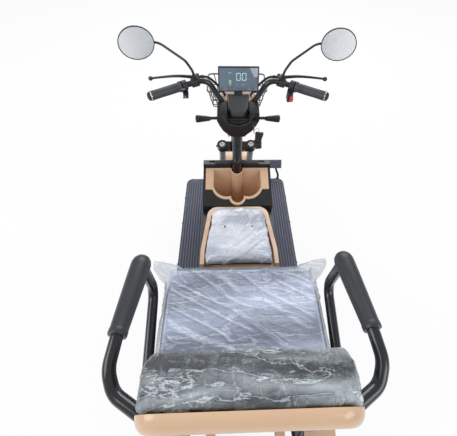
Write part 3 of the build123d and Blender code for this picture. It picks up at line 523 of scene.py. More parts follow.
# The mats' ribs and the pedal pad are given a paler blue-grey than the mat rubber.
pale_mat = soft_rubber("worn blue-grey ribs", (0.125, 0.135, 0.18), 0.55)
cover_gloss = black_plastic("smoky glossy plastic", 0.2, 0.06, 0.002)
bar_grip = soft_rubber("grey bar grip rubber", (0.05, 0.053, 0.058), 0.42)
dark_mat = soft_rubber("dark moulded rubber", (0.04, 0.042, 0.052), 0.5)
foam = foam_skin()
cream = tinted_plastic("cream cap plastic", (0.6, 0.58, 0.5), (0.68, 0.66, 0.58))
display_glass = panel_glass()
slot_of = {row["node"]: row["material_slot"] for row in frame["record"]["subparts"]}
for node, obj in nodes.items():
    obj.data.materials.clear()
    obj.data.materials.append(finishes[slot_of[node]])


# ---------------------------------------------------------------- camera, lights and floor
scene = bpy.context.scene
scene.view_settings.view_transform = "Standard"


def put_camera():
    """The camera over the rider's seat, looking forward and down."""
    yaw, pitch, roll = (math.radians(angle) for angle in CAMERA_TURN)
    turn = (Matrix.Rotation(-yaw, 4, "Z") @ Matrix.Rotation(math.pi / 2 - pitch, 4, "X")
            @ Matrix.Rotation(roll, 4, "Z"))
    ops.object.camera_add()
    camera = bpy.context.object
    camera.matrix_world = shift(CAMERA_PLACE) @ turn
    camera.data.sensor_width, camera.data.lens = 36, CAMERA_LENS
    camera.data.shift_x, camera.data.shift_y = CAMERA_SHIFT
    camera.data.clip_start = 0.05
    scene.camera = camera


def area_light(name, place, aim, size, watts, tint=(1, 1, 1)):
    ops.object.light_add(type="AREA", location=place)
    lamp = bpy.context.object
    lamp.name = name
    lamp.data.shape = "RECTANGLE"
    lamp.data.size, lamp.data.size_y = size
    lamp.data.energy = watts
    lamp.data.color = tint
    lamp.rotation_mode = "QUATERNION"
    lamp.rotation_quaternion = (Vector(aim) - Vector(place)).to_track_quat("-Z", "Y")


def plain_white(name, shade, shadowed):
    """White to the camera; the floor keeps the trike's shadow faintly."""
    f = Finish(name)
    f.set(Base_Color=(shade, shade, shade, 1), Roughness=0.9)
    seen = f.node("LightPath", output="Is Camera Ray").math(
        "MAXIMUM", f.node("LightPath", output="Is Transmission Ray"))
    mixed = {0: seen * shadowed, 1: Wire(f.tree, f.shader.outputs[0]), 2: f.node("Emission")}
    plug(f.tree, f.node("MixShader", mixed), f.tree.nodes["Material Output"].inputs["Surface"])
    return f.material


def studio():
    ops.mesh.primitive_plane_add(size=60, location=(0, 0, -0.0005))
    floor = bpy.context.object
    floor.name = "floor"
    floor.data.materials.append(plain_white("white floor", 0.9, 0.9))
    world = bpy.data.worlds.new("soft sky")
    scene.world = world
    world.use_nodes = True
    sky = world.node_tree.nodes["Background"]
    sky.inputs["Color"].default_value = (0.93, 0.96, 1.0, 1)
    sky.inputs["Strength"].default_value = 0.55
    area_light("high front", (0.6, 3.0, 3.4), (0, 0.1, 0.5), (3.4, 2.4), 95, (0.93, 0.96, 1.0))
    area_light("high left", (-3.0, -1.2, 2.8), (0, 0, 0.5), (2.4, 2.4), 55)
    area_light("rear right", (2.4, -3.0, 2.6), (0, -0.2, 0.5), (2.4, 2.0), 42)


# ---------------------------------------------------------------- places on the steered part
steering = next(joint for joint in frame["joints"] if joint["name"] == "steering")
crown = Vector(steering["pos_m"])
column = Vector(steering["axis"])
ahead = Vector((0, column.z, -column.y))


def on_fork(x, y, z):
    """A place given in mm about the steering axis: y ahead of it, z up it from the crown."""
    return crown + Vector((x, 0, 0)) / 1000 + ahead * (y / 1000) + column * (z / 1000)


def fork_frame(y=0.0, z=0.0, tilt=0.0):
    """The matrix that puts a piece drawn upright on to the steered part."""
    lean = math.atan2(-column.y, column.z)
    return shift(on_fork(0, y, z)) @ Matrix.Rotation(lean + math.radians(tilt), 4, "X")


def put(obj, matrix):
    obj.data.transform(matrix)
    return obj


def both(left=None, right=None):
    """The two sides of the trike: its name, its sign along X, and a value for each."""
    return (("left", -1, left), ("right", 1, right))


def turned(profile, start, end, sides=32):
    """A piece turned on a lathe: (distance, radius) pairs in mm from the start towards the end."""
    (first, radius), start = profile[0], Vector(start)
    ops.mesh.primitive_circle_add(vertices=sides, radius=radius / 1000, fill_type="NGON",
                                  location=(0, 0, first / 1000))
    obj = settle(bpy.context.object)
    edit(obj, "SELECT")
    for (low, thin), (high, thick) in zip(profile, profile[1:]):
        ops.mesh.extrude_region_move(TRANSFORM_OT_translate={"value": (0, 0, (high - low) / 1000)})
        ops.transform.resize(value=(thick / thin, thick / thin, 1))
    face_outward(obj)
    turn = (Vector(end) - start).to_track_quat("Z", "Y").to_matrix().to_4x4()
    return put(obj, shift(start) @ turn)


def ring_of(section, centre_radius, steps=72):
    """A closed ring about the X axis, spun from an oval section (half width, half height)."""
    ops.mesh.primitive_circle_add(vertices=28, radius=1, rotation=(math.pi / 2, 0, 0))
    obj = bpy.context.object
    obj.scale = (*section, 1)
    obj.location = (0, 0, centre_radius)
    settle(obj)
    edit(obj, "SELECT")
    ops.mesh.spin(steps=steps, angle=TAU, center=(0, 0, 0), axis=(1, 0, 0))
    ops.mesh.select_all(action="SELECT")
    ops.mesh.remove_doubles(threshold=0.00001)
    return face_outward(obj)


def twin(obj, matrix):
    """Another piece like this one, with its own mesh, moved by a matrix."""
    other = obj.copy()
    other.data = obj.data.copy()
    bpy.context.scene.collection.objects.link(other)
    other.data.transform(matrix)
    if matrix.determinant() < 0:
        other.data.flip_normals()
    return other


FLIP = Matrix.Scale(-1, 4, (1, 0, 0))


# ---------------------------------------------------------------- cushions and their wrapping
def puffed(name, node, shrink, cap, pressure=4.0):
    """A cushion from its solid: remeshed, blown up a little as cloth, and capped."""
    obj = copy_node(node)
    obj.name = name
    low, high = (Vector(corner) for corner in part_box(node))
    middle, size = (low + high) / 2, high - low
    for vert in obj.data.vertices:
        for axis in range(3):
            share = 1 - 2 * shrink / size[axis]
            vert.co[axis] = middle[axis] + (vert.co[axis] - middle[axis]) * share
    modify(obj, "REMESH", mode="VOXEL", voxel_size=0.006)
    rest = [vert.co.copy() for vert in obj.data.vertices]
    pick(obj)
    cloth = obj.modifiers.new("Cloth", "CLOTH")
    cloth.settings.use_pressure = True
    cloth.settings.uniform_pressure_force = pressure
    cloth.settings.effector_weights.gravity = 0
    scene.frame_end = 20
    for step in range(1, 21):
        scene.frame_set(step)
    ops.object.modifier_apply(modifier=cloth.name)
    scene.frame_set(1)
    for vert, start in zip(obj.data.vertices, rest):
        move = vert.co - start
        if move.length > cap:
            vert.co = start + move.normalized() * cap
    return obj


def rest_on(obj, height):
    """Flatten what bulges below the plane that the cushion rests on."""
    for vert in obj.data.vertices:
        vert.co.z = max(vert.co.z, height)


def fold(point, scale, width):
    """Height of a crumple: 1 on a sharp ridge, falling away to each side."""
    return max(0.0, 1 - abs(noise.noise(point * scale)) / width)


def crumple(point, direction, tight=1.0):
    """Folds that run along a direction, with finer creases across them, in metres."""
    along = point.dot(direction)
    stretched = point - direction * along * 0.84
    swirl = Vector((noise.noise(point * 5), noise.noise(point * 5 + Vector((5, 5, 5))), 0)) * 0.03
    big = fold(stretched + swirl, 9 * tight, 0.16)
    middle = fold(stretched + swirl * 0.5 + Vector((3, 1, 2)), 19 * tight, 0.14)
    small = fold(stretched * 0.6 + point * 0.4 + swirl + Vector((7, 4, 1)), 34 * tight, 0.16)
    return 0.005 * big + 0.0026 * middle + 0.0012 * small


def piping(name, points, radius, body):
    """The sewn cord along a cushion's edge."""
    piece(wire(points, radius, closed=True), name, body, "black_leatherette", angle=60)


def rider_cushion():
    obj = puffed("rider_cushion", "seat_cushion", 0.006, 0.007)
    low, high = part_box("seat_cushion")
    rest_on(obj, low[2] + 0.0004)
    modify(obj, "SUBSURF", levels=1, render_levels=1)
    piece(obj, "rider_cushion", "main_seat", "black_leatherette", ["seat_cushion"], 60)
    inset, corner = 0.010, 0.04
    half, front, rear = high[0] - inset, high[1] - inset, low[1] + inset
    loop = [(half - corner, front), (half, front - corner), (half, (front + rear) / 2),
            (half, rear + corner), (half - corner, rear), (0, rear)]
    loop += [(-x, y) for x, y in reversed(loop[:-1])] + [(0, front)]
    piping("rider_cushion_piping", [(x, y, high[2] - 0.007) for x, y in loop], 0.0028, "main_seat")


def rider_film():
    """Clear film over the rider's cushion, tucked down its sides, with its front corners loose."""
    low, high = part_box("seat_cushion")
    half, span, spare = high[0] - FILM_INSET, (high[1] - low[1]) / 2 - FILM_INSET, 0.05
    columns, rows = ((200, 150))
    direction = Vector((0.86, -0.5, 0)).normalized()
    ops.mesh.primitive_grid_add(x_subdivisions=columns, y_subdivisions=rows, size=1)
    obj = bpy.context.object
    obj.scale = (2 * (half + spare), 2 * (span + spare), 1)
    settle(obj)
    middle, top, soft = (low[1] + high[1]) / 2, high[2] + 0.003, 0.022
    for vert in obj.data.vertices:
        x, y = vert.co.x, vert.co.y
        over_x, over_y = max(0, abs(x) - half), max(0, abs(y) - span)
        near_x, near_y = max(0, abs(x) - half + 0.045), max(0, y - span + 0.03)
        flare = math.sqrt(near_x * near_y) if y > 0 else min(over_x, over_y) * 0.35
        drop = max(0, max(over_x, over_y) - 0.75 * flare)
        edge = min(half - abs(x), span - abs(y))
        sag = soft * max(0, 1 - max(edge, 0) / soft) ** 2 * 0.5
        patch = min(1, 0.55 + 0.45 * abs(noise.noise((x * 4, y * 4, 1))) * 3)
        lift = crumple(Vector((x, y, 0)), direction) * patch
        side = lift if drop > 0.004 else 0
        out_x = math.copysign(min(over_x, 0.004 + 0.75 * flare) + (side if over_x >= over_y else 0), x)
        out_y = math.copysign(min(over_y, 0.004 + 0.3 * flare) + (side if over_y > over_x else 0), y)
        vert.co = (max(-half, min(half, x)) + (out_x if over_x else 0),
                   middle + max(-span, min(span, y)) + (out_y if over_y else 0),
                   top - sag - drop + (0 if drop > 0.004 else lift))
    modify(obj, "SUBSURF", levels=1, render_levels=1)
    piece(obj, "rider_film", "main_seat", "clear_film", angle=80, finish=rider_wrap)


def wrapped_pad(name, pad, keep, out, direction, tight, finish, body):
    """Film drawn over a pad: the pad's own surface pushed out and crumpled, open behind."""
    obj = twin(pad, Matrix.Identity(4))
    obj.name = name
    forget(obj)
    modify(obj, "SUBSURF", levels=1, render_levels=1)
    edit(obj)
    select(obj, "faces", lambda face: not keep(face.calc_center_median()))
    ops.mesh.delete(type="FACE")
    close_edit(obj)
    normals = [vert.normal.copy() for vert in obj.data.vertices]
    for vert, normal in zip(obj.data.vertices, normals):
        vert.co += normal * (out + crumple(vert.co, direction, tight))
    piece(obj, name, body, "clear_film", angle=80, finish=finish)


def rider_back():
    """The backrest's pad, and its film, open at the back."""
    pad = puffed("backrest_cushion", "backrest_pad", 0.006, 0.007, 5.0)
    lean = math.radians(8)
    rear = Vector((0, -math.cos(lean), -math.sin(lean)))
    plane = max(vert.co.dot(rear) for vert in nodes["backrest_pad"].data.vertices)
    for vert in pad.data.vertices:
        past = vert.co.dot(rear) - plane
        if past > -0.0005:
            vert.co -= rear * (past + 0.0005)
    piece(pad, "backrest_cushion", "main_seat", "black_leatherette", ["backrest_pad"], 60)
    rim = max(vert.co.dot(rear) for vert in pad.data.vertices)
    wrapped_pad("backrest_film", pad, lambda place: place.dot(rear) < rim - 0.004, 0.0025,
                Vector((0.5, 0.3, 0.8)).normalized(), 1.5, back_wrap, "main_seat")


def child_cushion():
    """The child's cushion with its pressed buttons, and the film over it."""
    pad = puffed("child_cushion", "child_seat_cushion", 0.004, 0.006)
    low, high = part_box("child_seat_cushion")
    rest_on(pad, low[2] + 0.0003)
    middle = (low[1] + high[1]) / 2
    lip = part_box("child_seat_base")[1][2] + 0.0015
    for vert in pad.data.vertices:
        if vert.co.z > lip:
            share = max(0, (vert.co.y - middle) / (high[1] - middle))
            vert.co.y += 0.019 * share ** 2
            vert.co.x *= 1 + 0.05 * share
    buttons = [(-0.055, middle + 0.03), (0.055, middle + 0.03), (-0.1, middle - 0.09), (0.1, middle - 0.09)]
    for vert in pad.data.vertices:
        for x, y in buttons:
            near = math.hypot(vert.co.x - x, vert.co.y - y)
            if near < 0.035 and vert.co.z > high[2] - 0.02:
                vert.co.z -= 0.007 * (1 - near / 0.035) ** 2
    piece(pad, "child_cushion", "child_seat", "black_leatherette", ["child_seat_cushion"], 60)
    wrapped_pad("child_film", pad, lambda place: place.z > low[2] + 0.022, 0.0015,
                Vector((0.75, 0.66, 0)).normalized(), 1.3, child_wrap, "child_seat")
    for number, (x, y) in enumerate(buttons[:2]):
        top = max(vert.co.z for vert in pad.data.vertices
                  if math.hypot(vert.co.x - x, vert.co.y - y) < 0.008)
        stud = turned([(0, 3.5), (4.5, 3.5), (6, 2.2), (6.5, 0.5)], (x, y, top), (x, y, top + 1), 16)
        piece(stud, f"child_cushion_button_{number + 1}", "child_seat", "black_leatherette")


# ---------------------------------------------------------------- armrests
def armrests():
    """Foam sleeves: a round nose over the tube's bend, a slight taper, and a cuff behind."""
    nose = [(-26.4, 1), (-25.2, 8.5), (-20.6, 16.4), (-12.5, 23.2), (-3, 26.2), (6, 26.6), (50, 25.6),
            (110, 23.6), (165.5, 21.7), (166.8, 21.9), (168.2, 22.6), (178.5, 22.6), (180.8, 21.8),
            (181.2, 19), (181.2, 15.3)]
    front, rear = (0.2745, -0.3255, 0.784), (0.296, -0.5055, 0.787)
    right = turned(nose, front, rear, 40)
    left = twin(right, FLIP)
    piece(right, "armrest_right", "main_seat", "grip_rubber", ["arm_pads"], 40, foam)
    piece(left, "armrest_left", "main_seat", "grip_rubber", (), 40, foam)


# ---------------------------------------------------------------- floor mats, box and tray
def mat_ribs():
    """Moulded ribs along each mat; the outer ones follow its rounded front corner."""
    low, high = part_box("floor_mats")
    inner, outer = 0.158, high[0] - 0.004
    rear, front, top = low[1] + 0.004, high[1] - 0.004, high[2] - 0.0006
    count, made = 9, []
    for index in range(count):
        share = index / (count - 1)
        x = inner + (outer - inner) * share
        ahead_y = front - 0.001 - 0.004 * share
        bend = 0.03 * max(0, share - 0.35)
        path = [(x, rear, top), (x, (rear + front) / 2, top), (x, ahead_y - 0.05 - bend, top),
                (x, ahead_y - bend, top), (x - bend * 1.3, ahead_y - 0.002 * share, top)]
        if index == count - 1:
            path += [((inner + outer) / 2, front, top), (inner, front, top)]
        rib = wire(path, 0.0046 if index in (0, count - 1) else 0.0036, resolution=4)
        for vert in rib.data.vertices:
            vert.co.z = top + (vert.co.z - top) * 0.55
        made.append(rib)
    right = join(made)
    left = twin(right, FLIP)
    piece(right, "mat_ribs_right", "frame", "mat_rubber", (), 50, pale_mat)
    piece(left, "mat_ribs_left", "frame", "mat_rubber", (), 50, pale_mat)


def tray_insert():
    """Ribbed rubber insert in the tray behind the headstock, and the ribs on the sloping deck."""
    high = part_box("front_box")[1]
    top, front = high[2], high[1]
    tray = cube((-0.1, front - 0.0245, top - 0.0035), (0.1, front - 0.0055, top + 0.0035))
    edit(tray)
    select(tray, "edges", lambda edge: abs((edge.verts[0].co - edge.verts[1].co).z) > 0.005)
    ops.mesh.bevel(offset=0.009, segments=6)
    close_edit(tray)
    bevel_edges(tray, 0.002, 2, angle_limit=math.radians(50))
    row = ribs(24, -0.0897, 0.0078, 0.0024, (front - 0.020, top + 0.003), (front - 0.009, top + 0.0052))
    piece([tray] + row, "tray_insert", "frame", "mat_rubber", finish=dark_mat)
    slope = math.radians(22)
    deck = []
    for side in (-1, 1):
        for number in range(3):
            x, y = side * (0.088 + 0.017 * number), 0.142 - 0.004 * number
            rib = cube((x - 0.003, -0.016, -0.001), (x + 0.003, 0.016, 0.0016), 0.0012, 3)
            height = 0.541 - (0.2825 - y) * math.tan(slope) - 0.004
            deck.append(put(rib, shift((0, y, height)) @ Matrix.Rotation(slope, 4, "X")))
    piece(deck, "deck_ribs", "frame", "black_plastic")


def basket_wires():
    """The wire basket: a double rim, hoops, uprights and a floor grid."""
    low, high = (Vector(corner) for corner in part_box("basket"))
    top, bottom = high.z - 0.003, low.z + 0.003
    centre = (low.y + high.y) / 2
    wires, cut = [], 0.034
    for z, thick in ((top, 0.0034), (bottom + 0.002, 0.0026), (top * 0.45 + bottom * 0.55, 0.0022)):
        share = (z - low.z) / (high.z - low.z)
        half_x, half_y = 0.104 + 0.023 * share, 0.056 + 0.021 * share
        hoop = round_corners([(half_x, half_y - cut), (half_x, half_y), (half_x - cut, half_y)])
        wires.append(wire([(x, centre + y, z) for x, y in hoop], thick, closed=True, resolution=5))
    for side in range(-2, 3):
        x, tall = side * 0.043, side * 0.052
        half = [(tall * 0.98, -0.0768, top), (x, -0.0655, bottom + 0.03), (x, -0.06, bottom),
                (x * 0.98, -0.044, bottom)]
        path = half + [(x, -y, z) for x, y, z in half[::-1]]
        wires.append(wire([(x, centre + y, z) for x, y, z in path], 0.0021, resolution=5))
    for step in range(-1, 2):
        y, tall = centre + step * 0.038, centre + step * 0.048
        half = [(-0.1265, tall, top), (-0.1125, y, bottom + 0.03), (-0.107, y, bottom), (-0.092, y, bottom)]
        wires.append(wire(half + [(-x, y, z) for x, y, z in half[::-1]], 0.0021, resolution=5))
    piece(wires, "basket_wires", "steering", "black_tube", ["basket"], 50)


# ---------------------------------------------------------------- handlebar
WRIST, GRIP_END = Vector((190, 27, 382)), Vector((317, -47, 400))


def along_grip(x, side):
    """A point on a grip's centre line, at a distance in mm from the middle."""
    place = WRIST + (GRIP_END - WRIST) * ((x - WRIST.x) / (GRIP_END.x - WRIST.x))
    return on_fork(side * place.x, place.y, place.z)


def grips():
    """Rubber sleeves with an inner flange, a bright end ring and a cap."""
    sleeve = [(0, 12.5), (0.2, 19.5), (1.2, 20.8), (4.2, 20.8), (5.6, 19.8), (8, 17.6)]
    for start in range(12, 36, 4):
        sleeve += [(start, 17.5), (start + 0.5, 16.8), (start + 1.8, 16.8), (start + 2.3, 17.5)]
    sleeve += [(40, 17.5), (75, 17), (105, 17.3), (112.5, 17.6), (114.5, 16.5), (114.6, 12)]
    ring = [(114.3, 12), (114.4, 17.6), (115.2, 18.2), (117.2, 18.2), (118, 17.5), (118.1, 10)]
    cap = [(117.8, 12), (117.9, 16.4), (121.5, 15.5), (125, 12.5), (126.8, 7.5), (127, 1)]
    for name, side, body in both("steering", "throttle"):
        start, end = along_grip(213, side), along_grip(317, side)
        piece(turned(sleeve, start, end, 40), f"grip_sleeve_{name}", body, "grip_rubber",
              [f"grip_{name}"], 30, bar_grip)
        piece(turned(ring, start, end, 40), f"grip_ring_{name}", body, "bright_steel", angle=30)
        piece(turned(cap, start, end, 32), f"grip_cap_{name}", body, "black_trim", angle=30)


def levers():
    """Cast lever blades: thick at the pivot, thin and a little bowed, with a ball at the tip."""
    path = [(172, 60, 388), (190, 61, 389), (214, 60, 393), (250, 50, 402), (288, 35, 411), (315, 25, 416)]
    tip = [(-8.5, 1), (-7.5, 4), (-5, 6.8), (-1, 8.4), (3, 8), (6.5, 5.6), (8.3, 2), (8.6, 0.5)]
    pivot = [(-3.9, 3), (-3.8, 6.6), (-3, 7.4), (3, 7.4), (3.8, 6.6), (3.9, 3)]
    for name, side, body in both("lever_left", "lever_right"):
        blade = wire([on_fork(side * x, y, z) for x, y, z in path], 0.0064, order=4, resolution=8,
                     taper=lambda share: 1.1 - 0.45 * min(1, share * 1.15))
        ball = turned(tip, on_fork(side * 317, 24.3, 416), on_fork(side * 330, 19, 419), 20)
        eye = turned(pivot, on_fork(side * 161, 60, 388), on_fork(side * 161, 60, 389), 24)
        piece([blade, ball, eye], f"lever_blade_{name}", body, "black_tube", [f"brake_lever_{name}"], 45)


def fastener(place, direction, radius, depth):
    """A bolt head with a socket, its sizes in mm."""
    shape = ((0, 0.9), (0.2, 1), (0.8, 1), (1, 0.86), (1.001, 0.55), (0.55, 0.5), (0.5, 0.05))
    profile = [(depth * along, radius * across) for along, across in shape]
    return turned(profile, place, Vector(place) + Vector(direction), 20)


def controls():
    """What the lever clamps and switches carry: mirror nuts, bolts, rocker, buttons and boots."""
    hexagon = [(0, 5.5), (0.2, 8.5), (1, 9.2), (6.2, 9.2), (7, 8.5), (7.2, 6.2), (13, 6), (14.5, 4.8)]
    bellows = [(0, 4.5), (0.5, 7.2), (3, 7.8), (6, 6.6), (9, 7.4), (12, 6.2), (15, 6.8), (18, 5.6)]
    for name, side, body in both("mirror_left", "mirror_right"):
        base = on_fork(side * 162, 31, 416)
        piece(turned(hexagon, base, base + column, 6), f"mirror_nut_{name}", body, "black_trim", angle=25)
        bolts = [fastener(on_fork(side * 152, 65.2, z), ahead, 3.4, 3) for z in (380, 397)]
        bolts.append(fastener(on_fork(side * 161, 60, 397.2), column, 4.2, 3.2))
        piece(bolts, f"lever_bolts_{name}", "steering", "plain_steel")
        boot = turned(bellows, on_fork(side * 147, 57, 388), on_fork(side * 138, 58.5, 390), 20)
        piece(boot, f"cable_boot_{name}", "steering", "grip_rubber")
    upright = fork_frame()
    horn = cube((-0.0050, -0.003, -0.0055), (0.0050, 0, 0.0055), 0.0016, 3)
    rocker = cube((-0.007, -0.0035, -0.004), (0.007, 0, 0.004), 0.0014, 3)
    put(horn, upright @ shift((-0.196, -0.0138, 0.362)))
    put(rocker, upright @ shift((-0.2, -0.008, 0.397)))
    piece([horn, rocker], "left_switch_keys", "steering", "grey_plastic")
    pads, marks = [], []
    for height in (0.362, 0.346):
        place = upright @ shift((0.197, -0.016, height))
        pads.append(put(cube((-0.0068, -0.0048, -0.0062), (0.0068, 0.0005, 0.0062), 0.0016, 3), place))
        marks.append(put(cube((-0.003, -0.0053, -0.0005), (0.003, -0.0046, 0.0005), 0.0002, 1), place))
    piece(pads, "red_switch_keys", "steering", "red_plastic", ["red_buttons"])
    piece(marks, "red_switch_marks", "steering", "bright_steel")


def looms():
    """The wrapped cables from each lever clamp into the headlight cover, with a spiral sleeve."""
    route = [(147, 58, 388), (124, 62, 394), (94, 60, 368), (68, 50, 338), (50, 44, 306.2)]
    for name, side, _ in both():
        points = [on_fork(side * x, y, z) for x, y, z in route]
        cable = path_curve(points, 3)
        cable.name = f"cable_{name}"
        cable.data.resolution_u = 16
        line = bpy.data.meshes.new_from_object(cable)
        track = [vert.co.copy() for vert in line.vertices]
        bpy.data.meshes.remove(line)
        thicken(cable.data, 0.0042, 4)
        cable.data.materials.append(finishes["black_trim"])
        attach(cable, "steering")
        turns, wrap = 24, []
        for index in range(turns * 8 + 1):
            share = index / (turns * 8) * (len(track) - 1)
            step = min(int(share), len(track) - 2)
            here = track[step].lerp(track[step + 1], share - step)
            run = (track[step + 1] - track[step]).normalized()
            over = run.cross(Vector((0, 1, 0.3))).normalized()
            turn = index / 8 * TAU
            wrap.append(here + (over * math.cos(turn) + run.cross(over) * math.sin(turn)) * 0.0046)
        spiral = wire(wrap, 0.0011, resolution=1)
        piece(spiral, f"cable_wrap_{name}", "steering", "black_trim",
              ["cable_looms"] if side < 0 else (), 60)


# ---------------------------------------------------------------- display, covers and signals
def bar(x, z, wide, high):
    return cube((x - wide / 2, -0.0009, z - high / 2), (x + wide / 2, -0.0003, z + high / 2), 0.0002, 1)


def digit(x, z, wide, high, thick):
    """The six lit bars of a nought."""
    parts = [bar(x, z + side * (high - thick) / 2, wide - thick * 2.4, thick) for side in (-1, 1)]
    return parts + [bar(x + side * (wide - thick) / 2, z + half * high / 4, thick, high / 2 - thick * 1.4)
                    for side in (-1, 1) for half in (-1, 1)]


def display_unit():
    """A flat display with a thin frame, a dark glass, and its lit bars and numbers."""
    place = fork_frame(29, 408, -33.8)
    case = cube((-0.075, 0, -0.046), (0.075, 0.014, 0.046), 0.0028, 4)
    edit(case)
    select(case, "faces", lambda face: face.normal.y < -0.99 and face.calc_area() > 0.005)
    ops.mesh.inset(thickness=0.0012, depth=0)
    ops.transform.translate(value=(0, 0.0007, 0))
    close_edit(case)
    piece(put(case, place), "display_case", "steering", "black_plastic", ["display"], 30)
    glass = put(cube((-0.0705, -0.0002, -0.0415), (0.0705, 0.001, 0.0415), 0.0004, 2), place)
    piece(glass, "display_glass", "steering", "black_plastic", (), 30, display_glass)
    digits = [part for x in (-0.0005, 0.0205) for part in digit(x, 0.0095, 0.0155, 0.027, 0.0018)]
    small = [part for x in (-0.0055, 0.0125, 0.0195) for part in digit(x, -0.021, 0.0052, 0.008, 0.001)]
    small += [bar(-0.05, 0.023, 0.002, 0.002), bar(0.047, 0.023, 0.004, 0.001)]
    steps = [bar(-0.031, -0.004 - 0.0042 * step, 0.009, 0.0034) for step in range(5)]
    green = [bar(-0.032, 0.0235, 0.010, 0.003)] + steps[:3]
    for name, parts, look, colour, strength in (
            ("display_digits", digits, "lit pale digits", (0.5, 0.85, 0.85), 0.55),
            ("display_small_digits", small, "dim blue digits", (0.25, 0.4, 0.62), 0.32),
            ("display_green_bars", green, "lit green bars", (0.1, 0.6, 0.34), 0.45),
            ("display_red_bars", steps[3:], "lit red bars", (0.6, 0.16, 0.16), 0.4)):
        piece(put(join(parts), place), name, "steering", "clear_lens", finish=lit(look, colour, strength))


def bar_cover():
    """The tongue-shaped cover over the handlebar's clamp, narrower and rounded at the rider's end."""
    cover = cube((-0.042, -0.040, 0.268), (0.042, 0.024, 0.340))
    edit(cover, "SELECT")
    slope = Vector((0, -0.041, 0.051)).normalized()
    ops.mesh.bisect(plane_co=(0, -0.040, 0.299), plane_no=slope, clear_outer=True, use_fill=True)
    select(cover, "verts", lambda vert: vert.co.y < -0.039)
    ops.transform.resize(value=(0.9, 1, 1), center_override=(0, -0.04, 0.28))
    select(cover, "edges", lambda edge: all(vert.co.y < -0.039 for vert in edge.verts)
           and abs(edge.verts[0].co.x - edge.verts[1].co.x) < 0.001)
    ops.mesh.bevel(offset=0.022, segments=8)
    close_edit(cover)
    bevel_edges(cover, 0.0055, 4, angle_limit=math.radians(28))
    edit(cover)
    face_outward(cover)
    upright = fork_frame()
    piece(put(cover, upright), "bar_cover", "steering", "black_plastic", ["clamp_cover"], 40, cover_gloss)
    lining = cube((-0.058, -0.0485, 0.246), (0.058, 0.0035, 0.2655), 0.007, 4)
    piece(put(lining, upright), "cowl_lining", "steering", "black_trim", angle=40)
    brow = [(-60, -50, 306), (-55, -54, 290), (-48, -56, 262), (-27, -57, 243), (0, -57, 237)]
    brow += [(-x, y, z) for x, y, z in brow[-2::-1]]
    ridge = wire([on_fork(*place) for place in brow], 0.0045, order=4, resolution=8)
    piece(ridge, "cowl_ridge", "steering", "black_plastic", angle=60)
    piece(fastener(on_fork(0, -55, 258), -ahead, 4.5, 3), "cowl_screw", "steering", "black_trim")


def signals():
    """Turn signals: a ribbed stalk, a rounded body, and the lens that faces ahead."""
    bellows = [(0, 5.2)] + [(4 + 4.5 * number + along, radius) for number in range(7)
                            for along, radius in ((0, 5.2), (0.8, 6.6), (2.6, 6.6), (3.4, 5.2))]
    for name, side, _ in both():
        body = cube((0.106, -0.042, 0.2335), (0.168, -0.0165, 0.2635))
        squeeze(body, lambda vert: vert.co.x < 0.11, (1, 0.6, 0.6), (0.108, -0.026, 0.248))
        bevel_edges(body, 0.0088, 5)
        lens = cube((0.125, -0.0200, 0.2395), (0.1610, -0.0152, 0.2525), 0.002, 3)
        stalk = turned(bellows, (0.074, -0.0235, 0.2455), (0.110, -0.0262, 0.2485), 20)
        for part, label, slot in ((body, "signal_body", "black_plastic"),
                                  (lens, "signal_lens", "amber_lens"),
                                  (stalk, "signal_stalk", "grip_rubber")):
            put(part, fork_frame())
            if side < 0:
                put(part, FLIP)
                part.data.flip_normals()
            stands_for = ["turn_signals"] if side < 0 and part is body else ()
            piece(part, f"{label}_{name}", "steering", slot, stands_for, 40)


def keys():
    """The lock, the key in it, a split ring, and two soft black fobs on a short link."""
    lock = [(0, 12.5), (9, 12.8), (10.8, 12), (11.2, 9.5), (9.8, 9), (9.7, 1)]
    face = on_fork(60, -54.2, 262)
    piece(turned(lock, face, face - ahead, 36), "key_lock", "steering", "black_trim", ["key_set"], 30)
    head = on_fork(60, -92, 262)
    blade = rod(on_fork(60, -64, 262), head, 0.0028, 0.0005)
    bow = put(cube((-0.0018, -0.024, -0.011), (0.0018, 0, 0.011), 0.0015, 3),
              shift(on_fork(60, -80, 262)))
    piece([blade, bow], "key", "steering", "plain_steel", angle=40)
    middle = head + Vector((0.010, -0.004, -0.005))
    angles = [TAU * step / 10 for step in range(10)]
    loop = [middle + Vector((math.cos(turn) * 0.01131, math.cos(turn) * 0.0065, math.sin(turn) * 0.013))
            for turn in angles]
    piece(wire(loop, 0.0012, closed=True), "key_ring", "steering", "bright_steel", angle=60)
    for name, size, place, turn in (("upper", (0.0165, 0.0065, 0.019), (0.011, 0.002, -0.026), 6),
                                    ("lower", (0.0155, 0.006, 0.024), (0.010, 0.001, -0.066), -8)):
        fob = cube([-half for half in size], size, 0.0058, 5)
        squeeze(fob, lambda vert: vert.co.z < -size[2] * 0.4, (0.84, 0.95, 1), (0, 0, -size[2]))
        under, over = -size[1] - 0.0007, -size[1] + 0.001
        pads = [cube((x - 0.0038, under, z - 0.0036), (x + 0.0038, over, z + 0.0036), 0.0014)
                for x in (-0.0052, 0.0052) for z in (-0.004, 0.007)]
        matrix = shift(middle + Vector(place)) @ Matrix.Rotation(math.radians(turn), 4, "Y")
        piece(put(fob, matrix), f"key_fob_{name}", "steering", "black_plastic", angle=40)
        piece(put(join(pads), matrix), f"key_fob_{name}_pads", "steering", "grip_rubber")
    link = [(0.011, -0.002, -0.041), (0.004, -0.003, -0.045), (0.010, -0.001, -0.049),
            (0.016, 0.003, -0.045)]
    piece(wire([middle + Vector(place) for place in link], 0.0012, closed=True), "key_link", "steering",
          "plain_steel", angle=60)


